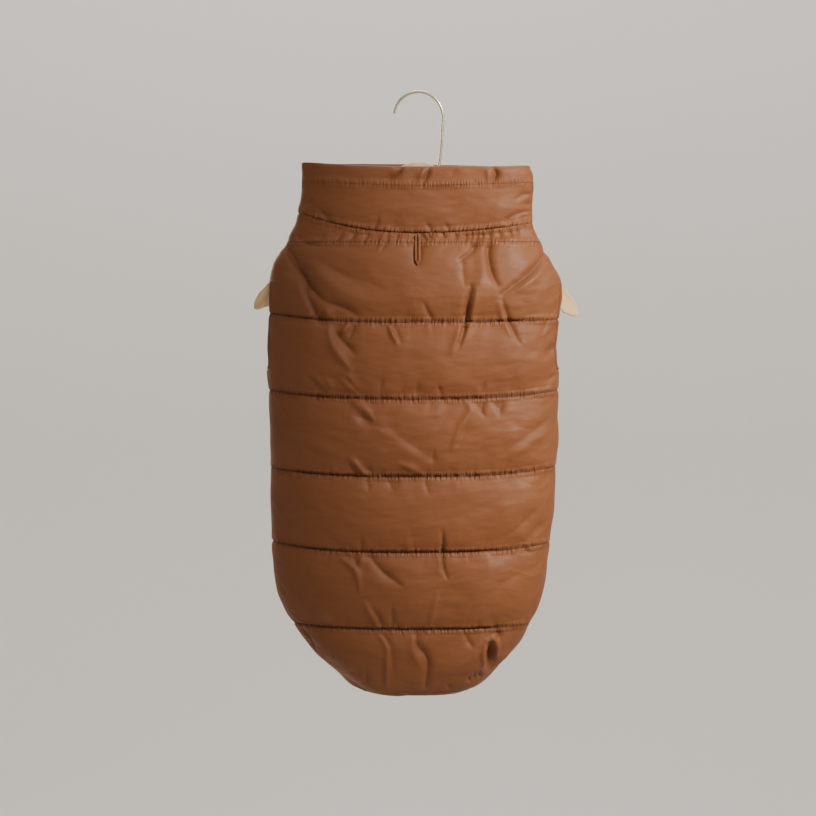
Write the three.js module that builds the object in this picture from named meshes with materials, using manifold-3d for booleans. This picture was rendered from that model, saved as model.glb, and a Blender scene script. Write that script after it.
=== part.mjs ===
// A dog's quilted winter coat hanging on a small wooden hanger, at real size in millimetres.
// +Z is up, the coat's back faces -Y, and the origin is under the top of the hook, where a rail or nail holds it.
// The coat is a hollow tube of padded cloth: a long back panel with a rounded tail, a shorter belly panel,
// a standing collar, and two armholes low on the sides that the hanger's arms come out of.
import * as THREE from "three";
import { mergeVertices } from "three/addons/utils/BufferGeometryUtils.js";
import Module from "manifold-3d";

const wasm = await Module();
wasm.setup();

// Cloth
const WALL = 2.6; // shell, flattened padding and lining, where they are stitched together
const SEAM_GAP = 0.3; // between pieces that are sewn to each other
const SIDE_PUFF = 0.12; // share of the padding's height that is left at the side seams
const SECTION_POWER = 2.5; // 2 is an ellipse, more is boxier
const SIDE_SEAM = 100; // degrees round the tube from the middle of the back panel
const TAIL_EDGE = 93; // the same at the end of the tail, where there is no belly panel
const SEAM_ANGLE = 0.25; // degrees that each panel stops short of the side seam
const SEAM_LEVEL = 0.008; // how far the collar stops above the neck seam, as a share of its lower channel
const PUFF_POWER = 0.6; // lower is a fuller channel with steeper sides

// The coat's outline as seen from the front, left and right, and the depth of its hollow to the front and back.
const SECTIONS = [
  { z: -66, left: -116.8, right: 114.6, front: 17, back: 15 },
  { z: -105, left: -116.6, right: 114, front: 18, back: 16 },
  { z: -121, left: -120.4, right: 113.8, front: 18.5, back: 16.5 },
  { z: -133, left: -123.2, right: 115, front: 19.5, back: 17 },
  { z: -148, left: -130.5, right: 121.6, front: 22, back: 18 },
  { z: -169, left: -144.5, right: 131.8, front: 27, back: 20 },
  { z: -193, left: -149.2, right: 143.6, front: 31, back: 21 },
  { z: -217, left: -150.6, right: 143, front: 33, back: 22 },
  { z: -250, left: -152.4, right: 139.8, front: 34, back: 23 },
  { z: -300, left: -149.2, right: 139.6, front: 35, back: 24 },
  { z: -387, left: -147.6, right: 136.8, front: 35, back: 24 },
  { z: -450, left: -145.4, right: 131.2, front: 34, back: 23 },
  { z: -485, left: -142.4, right: 126, front: 32.5, back: 21 },
  { z: -510, left: -134.6, right: 119.8, front: 30.5, back: 19 },
  { z: -535, left: -119.8, right: 108.4, front: 27.5, back: 16 },
  { z: -557, left: -102, right: 92.6, front: 23.5, back: 13 },
  { z: -577, left: -79.5, right: 72.5, front: 17.5, back: 9 },
];
// Below the last section the tail is rounded off, and it curls back to a hem that is just out of sight.
const TAIL = { middle: 1, drop: 23.4, power: 1.75 };

// Lines sewn across the coat, from the top: their height at the left edge, the middle of the back and the right edge,
// how sharply they turn up at the edges, how far they sag on the belly side,
// and the height of the padding between each line and the next, on the back panel and on the belly panel.
const LINES = [
  { name: "collar top", left: -70.6, middle: -75.8, right: -74.1, turn: 2, sag: -2, puff: 2.4, belly: 2 },
  { name: "casing stitching", left: -88, middle: -93.6, right: -89.6, turn: 2, sag: 0, puff: 4.4, belly: 3.4 },
  { name: "neck seam", left: -120.5, middle: -141, right: -130.5, turn: 2.2, sag: 6, puff: 2, belly: 1.8 },
  { name: "neck stitching", left: -149.9, middle: -151.7, right: -149.9, turn: 2, sag: 6, puff: 7.4, belly: 5.5 },
  { name: "quilt line 1", left: -220, middle: -229.9, right: -225.9, turn: 3, sag: 5, puff: 8.6, belly: 6.5 },
  { name: "quilt line 2", left: -296.6, middle: -305.7, right: -296.4, turn: 3, sag: 5, puff: 8.6, belly: 6.5 },
  { name: "quilt line 3", left: -373.5, middle: -382, right: -372.2, turn: 3, sag: 5, puff: 8.6, belly: 6.5 },
  { name: "quilt line 4", left: -446.8, middle: -456.7, right: -447.9, turn: 3, sag: 6, puff: 8.4, belly: 0 },
  { name: "quilt line 5", left: -527.1, middle: -532.6, right: -528.3, turn: 3, sag: 0, puff: 7.4, belly: 0 },
  { name: "tail hem", left: -598.6, middle: -599.6, right: -598.6, turn: 2, sag: 0, puff: 0, belly: 0 },
];
const lineNamed = (name) => LINES.findIndex((line) => line.name === name);
const NECK_SEAM = lineNamed("neck seam");
const BELLY_HEM = lineNamed("quilt line 4");
const TAIL_HEM = lineNamed("tail hem");

// The largest folds of the back panel: a soft ridge (positive height) or trough from one point to another.
const FOLDS = [
  { name: "left shoulder trough", fromX: -132, fromZ: -154, toX: -101, toZ: -224, width: 7, height: -4.6 },
  { name: "left shoulder ridge", fromX: -119, fromZ: -190, toX: -106, toZ: -220, width: 5, height: 2.4 },
  { name: "left yoke trough", fromX: -96, fromZ: -160, toX: -48, toZ: -198, width: 9, height: -2.6 },
  { name: "left channel ridge", fromX: -97, fromZ: -236, toX: -76, toZ: -282, width: 6, height: 2 },
  { name: "left channel trough", fromX: -84, fromZ: -240, toX: -62, toZ: -276, width: 6, height: -2.4 },
  { name: "middle pleat trough", fromX: 45, fromZ: -190, toX: 36, toZ: -232, width: 5, height: -2.8 },
  { name: "middle pleat ridge", fromX: 39, fromZ: -200, toX: 31, toZ: -262, width: 5, height: 2.2 },
  { name: "right yoke trough", fromX: 62, fromZ: -156, toX: 64, toZ: -190, width: 6, height: -3 },
  { name: "right shoulder trough", fromX: 116, fromZ: -158, toX: 78, toZ: -194, width: 6, height: -2.8 },
  { name: "tail pucker", fromX: 79, fromZ: -548, toX: 77, toZ: -574, width: 6, height: -4 },
];

// Leash slit: a buttonhole in the middle of the back, just under the collar, with two sewn lips.
const SLIT = { x: -0.5, top: -144.5, bottom: -171, gap: 1.2, lip: 2.4, height: 1.1 };

// Armholes: rounded holes seen from the side. The cloth rests on the arm this far inside its own inner face.
const ARMHOLE = { front: -9, back: 19, height: 86, radius: 12, reach: 50, rest: 2.6 };

// Hanger: a flat wooden plate, a little lower on its right, and the outline of one half of it.
// The outline is measured from the top of the crown, out along the upper edge and back along the lower one.
const PLATE = { thickness: 12, edge: 2, tilt: 1.2, x: 0.6, z: -69.6, crownRadius: 40 };
const PLATE_HALF = [
  { edge: "upper", x: 27.4, z: -10.9 },
  { edge: "upper", x: 146, z: -122.7 },
  { edge: "upper", x: 151, z: -127.2 },
  { edge: "upper", x: 156, z: -132.6 },
  { edge: "upper", x: 159.8, z: -138.6 },
  { edge: "upper", x: 161.7, z: -144.4 },
  { edge: "lower", x: 161, z: -149.4 },
  { edge: "lower", x: 156.5, z: -149.6 },
  { edge: "lower", x: 151, z: -147.2 },
  { edge: "lower", x: 146.5, z: -144.5 },
  { edge: "lower", x: 136, z: -136.3 },
  { edge: "lower", x: 48, z: -59.5 },
  { edge: "lower", x: 34, z: -48.5 },
  { edge: "lower", x: 18, z: -39.5 },
  { edge: "lower", x: 0, z: -36 },
];
const WIRE = { diameter: 3, bend: 24.5, tipAngle: 170, endX: 20.4, endZ: -74.6, inWood: 14, play: 0.3 };

const radians = THREE.MathUtils.degToRad;
const mix = THREE.MathUtils.lerp;

// One column of the outline table at a height, as a smooth curve through its rows, which run from the top down.
function columnAt(column, z) {
  const last = SECTIONS.length - 1;
  const below = Math.max(1, SECTIONS.findIndex((row) => row.z <= z));
  const [from, to] = [SECTIONS[below - 1], SECTIONS[below]];
  const slope = (j) => {
    const before = SECTIONS[Math.max(0, j - 1)];
    const after = SECTIONS[Math.min(last, j + 1)];
    return (after[column] - before[column]) / (after.z - before.z);
  };
  const step = to.z - from.z;
  const t = THREE.MathUtils.clamp((z - from.z) / step, 0, 1);
  const straight = mix(from[column], to[column], t * t * (3 - 2 * t));
  return straight + slope(below - 1) * step * t * (1 - t) ** 2 - slope(below) * step * t * t * (1 - t);
}

// The outline and depths at a height, with the tail's end below the last section.
function outline(z) {
  const lowest = SECTIONS[SECTIONS.length - 1];
  if (z >= lowest.z) {
    return {
      left: columnAt("left", z),
      right: columnAt("right", z),
      front: columnAt("front", z),
      back: columnAt("back", z),
    };
  }
  const down = Math.min(1, (lowest.z - z) / TAIL.drop);
  const round = (1 - down ** TAIL.power) ** (1 / TAIL.power);
  return {
    left: mix(TAIL.middle, lowest.left, round),
    right: mix(TAIL.middle, lowest.right, round),
    front: lowest.front * round,
    back: lowest.back * round,
  };
}

// A level counts lines: 3.5 is halfway between the lines 3 and 4.
function levelAt(level) {
  const k = Math.min(LINES.length - 2, Math.floor(level));
  const t = level - k;
  const between = (column) => mix(LINES[k][column], LINES[k + 1][column], t);
  return {
    left: between("left"),
    middle: between("middle"),
    right: between("right"),
    turn: between("turn"),
    sag: between("sag"),
  };
}

// A point on the inside of the cloth, by level and by angle round the tube from the middle of the back.
function insidePoint(level, degrees) {
  const row = levelAt(level);
  const across = Math.sin(radians(degrees));
  const depth = (1 - Math.abs(across) ** SECTION_POWER) ** (1 / SECTION_POWER);
  const toLeft = outline(row.left);
  const toRight = outline(row.right);
  const left = toLeft.left + WALL;
  const right = toRight.right - WALL;
  const x = mix(left, right, (1 + across) / 2);
  if (Math.abs(degrees) <= 90) {
    const edge = across < 0 ? row.left : row.right;
    const z = mix(row.middle, edge, Math.abs(across) ** row.turn);
    return new THREE.Vector3(x, -mix(toLeft.front, toRight.front, 0.5) * depth, z);
  }
  const z = mix(row.left, row.right, (1 + across) / 2) - row.sag * (1 - across * across);
  return new THREE.Vector3(x, mix(toLeft.back, toRight.back, 0.5) * depth, z);
}

// The direction out of the cloth, from the inside surface's own slopes.
function outward(level, degrees) {
  const up = Math.min(LINES.length - 1, level + 0.02);
  const down = Math.max(0, level - 0.02);
  const along = insidePoint(up, degrees).sub(insidePoint(down, degrees));
  const round = insidePoint(level, degrees + 0.5).sub(insidePoint(level, degrees - 0.5));
  return along.cross(round).normalize();
}

// The height of the folds near a point of the back panel.
function foldHeight(point) {
  let height = 0;
  for (const fold of FOLDS) {
    const run = new THREE.Vector2(fold.toX - fold.fromX, fold.toZ - fold.fromZ);
    const away = new THREE.Vector2(point.x - fold.fromX, point.z - fold.fromZ);
    const t = THREE.MathUtils.clamp(away.dot(run) / run.lengthSq(), 0, 1);
    const distance = away.sub(run.multiplyScalar(t)).length();
    height += fold.height * Math.exp(-((distance / fold.width) ** 2));
  }
  return height;
}

// How thick the cloth is: the stitched wall, and the padding that swells between the lines.
function thickness(level, degrees) {
  const k = Math.min(LINES.length - 2, Math.floor(level));
  const t = level - k;
  const swell = (4 * t * (1 - t)) ** PUFF_POWER;
  const toSide = THREE.MathUtils.smoothstep(Math.abs(Math.sin(radians(degrees))), 0.7, 1);
  const share = mix(1, SIDE_PUFF, toSide);
  const onBack = Math.abs(degrees) <= 90;
  const puff = (onBack ? LINES[k].puff : LINES[k].belly) * swell * share;
  const folded = onBack ? foldHeight(insidePoint(level, degrees)) * (0.2 + 0.8 * swell) * share : 0;
  return WALL + Math.max(0, puff + folded);
}

const outsidePoint = (level, degrees, lift = 0) =>
  insidePoint(level, degrees).addScaledVector(outward(level, degrees), thickness(level, degrees) + lift);

// Numbers from first to last, with a count for each stretch between whole lines.
function levels(first, counts) {
  const made = [first];
  counts.forEach((count, k) => {
    for (let i = 1; i <= count; i++) made.push(first + k + (1 - Math.cos((Math.PI * i) / count)) / 2);
  });
  return made;
}

// Angles from one side to the other, closer together where the cloth is broad, for one row of points.
function anglesAcross(count, half, centre = 0) {
  const even = 0.55;
  return (level) =>
    Array.from({ length: count + 1 }, (_, i) => {
      const u = (2 * i) / count - 1;
      return centre + half(level) * (even * u + (1 - even) * u ** 3);
    });
}

// Triangles of a grid of points, with rows joined into a ring where it is closed.
function gridFaces(faces, rows, columns, closed, vertex, flipped) {
  for (let j = 0; j + 1 < rows; j++) {
    for (let i = 0; i + (closed ? 0 : 1) < columns; i++) {
      const next = (i + 1) % columns;
      const quad = [vertex(j, i), vertex(j + 1, i), vertex(j + 1, next), vertex(j, next)];
      if (flipped) quad.reverse();
      faces.push(quad[0], quad[1], quad[2], quad[0], quad[2], quad[3]);
    }
  }
}

function geometryOf(points, faces) {
  const geometry = new THREE.BufferGeometry();
  geometry.setAttribute("position", new THREE.Float32BufferAttribute(points.flatMap((p) => p.toArray()), 3));
  geometry.setIndex(faces);
  return geometry;
}

// A wall of cloth between two grids of points, closed along all of its edges.
function wallGeometry(rowLevels, anglesAt, closed) {
  const rows = rowLevels.length;
  const columns = anglesAt(rowLevels[0]).length;
  const outer = rowLevels.flatMap((level) => anglesAt(level).map((angle) => outsidePoint(level, angle)));
  const inner = rowLevels.flatMap((level) => anglesAt(level).map((angle) => insidePoint(level, angle)));
  const out = (j, i) => j * columns + i;
  const within = (j, i) => outer.length + j * columns + i;
  const faces = [];
  gridFaces(faces, rows, columns, closed, out, false);
  gridFaces(faces, rows, columns, closed, within, true);
  const edge = (j) => (k, i) => (k ? out(j, i) : within(j, i));
  gridFaces(faces, 2, columns, closed, edge(0), false);
  gridFaces(faces, 2, columns, closed, edge(rows - 1), true);
  if (!closed) {
    const side = (i) => (j, k) => (k ? out(j, i) : within(j, i));
    gridFaces(faces, rows, 2, false, side(0), false);
    gridFaces(faces, rows, 2, false, side(columns - 1), true);
  }
  return geometryOf([...outer, ...inner], faces);
}

function solidOf(geometry) {
  const bare = geometry.clone();
  bare.deleteAttribute("normal");
  bare.deleteAttribute("uv");
  const merged = mergeVertices(bare, 1e-4);
  return new wasm.Manifold(
    new wasm.Mesh({
      numProp: 3,
      vertProperties: merged.attributes.position.array,
      triVerts: new Uint32Array(merged.index.array),
    }),
  );
}

function cut(geometry, cutters) {
  let solid = solidOf(geometry);
  for (const cutter of cutters) solid = solid.subtract(solidOf(cutter));
  const mesh = solid.getMesh();
  const made = new THREE.BufferGeometry();
  made.setAttribute("position", new THREE.BufferAttribute(mesh.vertProperties, 3));
  made.setIndex(new THREE.BufferAttribute(mesh.triVerts, 1));
  return made;
}

// Where a point of the tilted hanger is, from its place in the plate's own outline.
function onPlate(x, z) {
  const point = new THREE.Vector2(x, z).rotateAround(new THREE.Vector2(), -radians(PLATE.tilt));
  return point.add(new THREE.Vector2(PLATE.x, PLATE.z));
}

// The height of the straight part of an arm's upper edge at a distance from the middle, once tilted.
function armTopAt(x) {
  const side = Math.sign(x);
  const [from, to] = PLATE_HALF.slice(0, 2).map((point) => onPlate(side * point.x, point.z));
  return mix(from.y, to.y, (x - from.x) / (to.x - from.x));
}

// The plate across Y, with rounded edges.
function plateBody() {
  const crownStep = 3;
  const crown = [];
  const crownEnd = Math.asin(PLATE_HALF[0].x / PLATE.crownRadius);
  for (let k = 1 - crownStep; k < crownStep; k++) {
    const a = (crownEnd * k) / crownStep;
    crown.push(new THREE.Vector2(PLATE.crownRadius * Math.sin(a), PLATE.crownRadius * (Math.cos(a) - 1)));
  }
  const right = PLATE_HALF.map((point) => new THREE.Vector2(point.x, point.z));
  const left = right.slice(0, -1).reverse().map((point) => new THREE.Vector2(-point.x, point.y));
  const outlinePoints = [...crown, ...right, ...left].map((point) => onPlate(point.x, point.y));
  const geometry = new THREE.ExtrudeGeometry(new THREE.Shape(outlinePoints), {
    depth: PLATE.thickness - 2 * PLATE.edge,
    bevelThickness: PLATE.edge,
    bevelSize: PLATE.edge,
    bevelOffset: -PLATE.edge,
    bevelSegments: 2,
  });
  return geometry.translate(0, 0, PLATE.edge - PLATE.thickness / 2).rotateX(Math.PI / 2);
}

// The hook's centre line: a bend over the top, then a shank that leans in to the wood.
function hookCurve() {
  const centreZ = -(WIRE.bend - WIRE.diameter / 2);
  const points = [];
  for (let degrees = WIRE.tipAngle; degrees >= 0; degrees -= 10) {
    const a = radians(degrees);
    points.push(new THREE.Vector3(WIRE.bend * Math.cos(a), 0, centreZ + WIRE.bend * Math.sin(a)));
  }
  const end = new THREE.Vector3(WIRE.endX, 0, WIRE.endZ);
  const lean = new THREE.Vector3(WIRE.bend - 1.3, 0, mix(centreZ, WIRE.endZ, 0.55));
  const inWood = end.clone().sub(lean).normalize();
  points.push(lean, end, end.clone().addScaledVector(inWood, WIRE.inWood));
  return { curve: new THREE.CatmullRomCurve3(points), end, inWood };
}

const circle = (radius, sides) =>
  new THREE.Shape(
    Array.from({ length: sides }, (_, k) => {
      const a = (2 * Math.PI * k) / sides;
      return new THREE.Vector2(radius * Math.cos(a), radius * Math.sin(a));
    }),
  );

function hookGeometry() {
  return new THREE.ExtrudeGeometry(circle(WIRE.diameter / 2, 8), {
    steps: 44,
    extrudePath: hookCurve().curve,
    bevelEnabled: false,
  });
}

function plateGeometry() {
  const { end, inWood } = hookCurve();
  const length = 2 * WIRE.inWood;
  const hole = new THREE.CylinderGeometry(WIRE.diameter / 2 + WIRE.play, WIRE.diameter / 2 + WIRE.play, length, 16);
  hole.applyQuaternion(new THREE.Quaternion().setFromUnitVectors(new THREE.Vector3(0, 1, 0), inWood));
  const middle = end.clone().addScaledVector(inWood, WIRE.inWood + WIRE.play - length / 2);
  hole.translate(middle.x, middle.y, middle.z);
  return cut(plateBody(), [hole]);
}

// Where an arm's upper edge meets the inside of the cloth, seen from the front.
function armMeetsCloth(side) {
  let x = side * PLATE_HALF[1].x;
  for (let k = 0; k < 40; k++) {
    const edge = outline(armTopAt(x));
    x = side < 0 ? edge.left + WALL : edge.right - WALL;
  }
  return { x, z: armTopAt(x - side * ARMHOLE.rest) };
}

// An armhole's cutter: a rounded block through the side of the tube, whose upper edge rests on the arm.
function armholeCutter(side) {
  const meeting = armMeetsCloth(side);
  const top = meeting.z + SEAM_GAP;
  const { front, back, height, radius, reach } = ARMHOLE;
  const shape = new THREE.Shape();
  shape.moveTo(front, top - radius);
  shape.quadraticCurveTo(front, top, front + radius * 0.25, top);
  shape.lineTo(back - radius, top);
  shape.quadraticCurveTo(back, top, back, top - radius);
  shape.lineTo(back, top - height + radius);
  shape.quadraticCurveTo(back, top - height, back - radius, top - height);
  shape.quadraticCurveTo(front, top - height, front, top - height + radius);
  shape.closePath();
  const geometry = new THREE.ExtrudeGeometry(shape, { depth: reach, bevelEnabled: false, curveSegments: 6 });
  const basis = new THREE.Matrix4().makeBasis(
    new THREE.Vector3(0, 1, 0),
    new THREE.Vector3(0, 0, 1),
    new THREE.Vector3(1, 0, 0),
  );
  geometry.applyMatrix4(basis);
  return geometry.translate(meeting.x - reach / 2, 0, 0);
}

// The level and angle of a point of the back panel, from where it shows from the front.
function onBack(x, z) {
  let level = (NECK_SEAM + TAIL_HEM) / 2;
  let degrees = 0;
  for (let k = 0; k < 60; k++) {
    const p = insidePoint(level, degrees);
    level = THREE.MathUtils.clamp(level + (p.z - z) / 90, NECK_SEAM, TAIL_HEM);
    degrees = THREE.MathUtils.clamp(degrees + (x - p.x) * 0.35, -85, 85);
  }
  return { level, degrees };
}

// The slit's lips: one flat ring of cloth that lies on the back panel, with a pointed lower end.
function slitLips() {
  const { x, top, bottom, gap, lip, height } = SLIT;
  const ring = (half, over) => {
    const path = [];
    const steps = 8;
    for (let k = 0; k <= steps; k++) path.push([x - half, mix(top, bottom, k / steps)]);
    path.push([x, bottom - over * 1.8]);
    for (let k = steps; k >= 0; k--) path.push([x + half, mix(top, bottom, k / steps)]);
    path.push([x, top + over]);
    return path;
  };
  const inner = ring(gap / 2, gap / 2);
  const outer = ring(gap / 2 + lip, lip);
  const place = ([px, pz], lift) => {
    const { level, degrees } = onBack(px, pz);
    return outsidePoint(level, degrees, lift);
  };
  const base = SEAM_GAP;
  const rings = [
    inner.map((p) => place(p, base)),
    inner.map((p) => place(p, base + height)),
    outer.map((p) => place(p, base + height * 0.7)),
    outer.map((p) => place(p, base)),
  ];
  const count = inner.length;
  const faces = [];
  for (let r = 0; r < 4; r++) {
    for (let i = 0; i < count; i++) {
      const next = (i + 1) % count;
      const after = (r + 1) % 4;
      const quad = [r * count + i, after * count + i, after * count + next, r * count + next];
      faces.push(quad[0], quad[1], quad[2], quad[0], quad[2], quad[3]);
    }
  }
  return geometryOf(rings.flat(), faces);
}

// The slot under the lips goes right through the back panel.
function slotCutter() {
  const { level, degrees } = onBack(SLIT.x, mix(SLIT.top, SLIT.bottom, 0.5));
  const middle = outsidePoint(level, degrees);
  const slot = new THREE.BoxGeometry(SLIT.gap, 40, SLIT.top - SLIT.bottom);
  return slot.translate(SLIT.x, middle.y, mix(SLIT.top, SLIT.bottom, 0.5));
}

const shell = new THREE.MeshStandardMaterial({ color: 0x8a5a3c, roughness: 0.45, metalness: 0 });
const thread = new THREE.MeshStandardMaterial({ color: 0x9c6c4c, roughness: 0.6, metalness: 0 });
const wood = new THREE.MeshStandardMaterial({ color: 0xe2c9a0, roughness: 0.55, metalness: 0 });
const steel = new THREE.MeshStandardMaterial({ color: 0xcfc8bc, roughness: 0.25, metalness: 1 });

const coat = new THREE.Group();
function add(name, geometry, material) {
  const mesh = new THREE.Mesh(geometry, material);
  mesh.name = name;
  coat.add(mesh);
}

const cutters = [armholeCutter(-1), armholeCutter(1)];
const backLevels = levels(NECK_SEAM, [2, 8, 7, 7, 7, 7, 9]);
const bellyLevels = levels(NECK_SEAM, [2, 8, 7, 7, 7]);
const collarLevels = levels(0, [4, 5]).map((level) => Math.min(level, NECK_SEAM - SEAM_LEVEL));
const backHalf = (level) => {
  const tail = Math.max(0, (level - BELLY_HEM) / (TAIL_HEM - BELLY_HEM));
  return mix(SIDE_SEAM - SEAM_ANGLE, TAIL_EDGE, Math.min(1, 1.6 * tail));
};
const bellyHalf = () => 180 - SIDE_SEAM - SEAM_ANGLE;
const backWall = wallGeometry(backLevels, anglesAcross(44, backHalf), false);
const bellyWall = wallGeometry(bellyLevels, anglesAcross(24, bellyHalf, 180), false);
const ringAngles = Array.from({ length: 48 }, (_, i) => -180 + (360 * i) / 48);

add("back_panel", cut(backWall, [...cutters, slotCutter()]), shell);
add("belly_panel", cut(bellyWall, cutters), shell);
add("collar", wallGeometry(collarLevels, () => ringAngles, true), shell);
add("leash_slit_lips", slitLips(), thread);
add("hanger_plate", plateGeometry(), wood);
add("hanger_hook", hookGeometry(), steel);

export default coat;
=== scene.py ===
"""A dog's quilted winter coat on a small wooden hanger, finished for its picture.

The tables are in millimetres, as in the part's own source, and what is built from them is in metres.
The coat's back faces -Y, +Z is up, and the origin is under the top of the hook.
"""
import math
from collections import namedtuple

import bmesh
import bpy
import numpy as np
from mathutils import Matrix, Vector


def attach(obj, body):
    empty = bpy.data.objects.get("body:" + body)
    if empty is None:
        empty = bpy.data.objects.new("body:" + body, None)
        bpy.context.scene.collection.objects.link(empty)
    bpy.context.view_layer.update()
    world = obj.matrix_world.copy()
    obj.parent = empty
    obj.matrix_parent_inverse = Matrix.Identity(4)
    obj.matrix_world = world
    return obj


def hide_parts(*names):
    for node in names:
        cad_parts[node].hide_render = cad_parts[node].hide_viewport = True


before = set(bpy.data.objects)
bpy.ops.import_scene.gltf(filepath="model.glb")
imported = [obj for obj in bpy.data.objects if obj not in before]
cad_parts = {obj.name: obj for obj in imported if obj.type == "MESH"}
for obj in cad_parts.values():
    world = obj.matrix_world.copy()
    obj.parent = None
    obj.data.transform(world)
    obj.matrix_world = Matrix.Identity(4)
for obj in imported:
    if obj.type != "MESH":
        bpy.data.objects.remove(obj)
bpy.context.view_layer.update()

MM = 0.001

# The coat's form, as the solids have it
WALL = 2.6  # shell, flattened padding and lining where they are stitched together
SIDE_PUFF = 0.12  # share of the padding's height that is left at the side seams
SECTION_POWER = 2.5
PUFF_POWER = 0.6
SIDE_SEAM = 100  # degrees round the tube from the middle of the back panel
TAIL_EDGE = 93
SEAM_ANGLE = 0.25

Section = namedtuple("Section", "z left right front back")
SECTIONS = [
    Section(-66, -116.8, 110.6, 17, 15),
    Section(-75.5, -116.8, 112.2, 17.3, 15.3),
    Section(-82, -116.7, 115, 17.5, 15.5),
    Section(-105, -116.6, 114, 18, 16),
    Section(-121, -120.4, 113.8, 18.5, 16.5),
    Section(-133, -123.2, 115, 19.5, 17),
    Section(-148, -130.5, 121.6, 22, 18),
    Section(-169, -144.5, 131.8, 27, 20),
    Section(-193, -149.2, 143.6, 31, 21),
    Section(-217, -150.6, 143, 33, 22),
    Section(-250, -152.4, 139.8, 34, 23),
    Section(-300, -149.2, 139.6, 35, 24),
    Section(-387, -147.6, 136.8, 35, 24),
    Section(-450, -145.4, 131.2, 34, 23),
    Section(-485, -142.4, 126, 32.5, 21),
    Section(-510, -134.6, 119.8, 30.5, 19),
    Section(-535, -119.8, 108.4, 27.5, 16),
    Section(-557, -102, 92.6, 23.5, 13),
    Section(-577, -79.5, 72.5, 17.5, 9),
]
TAIL_MIDDLE = 1
TAIL_DROP = 24
TAIL_ABOVE = 30
TAIL_POWER = 2.5
TAIL_EASE = 6  # how far up and down the tail's edge is averaged, where its end starts
TAIL_EASE_START = -550
TAIL_EASE_END = -602
TAIL_EASE_FADE = 25

# Lines sewn across: heights, turn at the sides, sag on the belly, padding below, how far they draw it in
Line = namedtuple("Line", "name left middle right turn sag puff belly draw")
LINES = [
    Line("collar top", -70.6, -75.8, -74.1, 2, -2, 2.4, 2, 1),
    Line("casing stitching", -88, -93.6, -89.6, 2, 0, 4.4, 3.4, 0.35),
    Line("neck seam", -120.5, -141, -130.5, 2.2, 6, 2, 1.8, 1),
    Line("neck stitching", -149.9, -151.7, -149.9, 2, 6, 7.4, 5.5, 0.45),
    Line("quilt line 1", -220, -229.9, -225.9, 3, 5, 8.6, 6.5, 1),
    Line("quilt line 2", -296.6, -305.7, -296.4, 3, 5, 8.6, 6.5, 1),
    Line("quilt line 3", -373.5, -382, -372.2, 3, 5, 8.6, 6.5, 1),
    Line("quilt line 4", -446.8, -456.7, -447.9, 3, 6, 8.4, 0, 1),
    Line("quilt line 5", -527.1, -532.6, -528.3, 3, 0, 7.4, 0, 1),
    Line("tail hem", -598.6, -599.6, -598.6, 2, 0, 0, 0, 1),
]
LINE_NAMES = [line.name for line in LINES]
CASING = LINE_NAMES.index("casing stitching")
NECK_SEAM = LINE_NAMES.index("neck seam")
NECK_STITCHING = LINE_NAMES.index("neck stitching")
BELLY_HEM = LINE_NAMES.index("quilt line 4")
TAIL_HEM = LINE_NAMES.index("tail hem")

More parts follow.
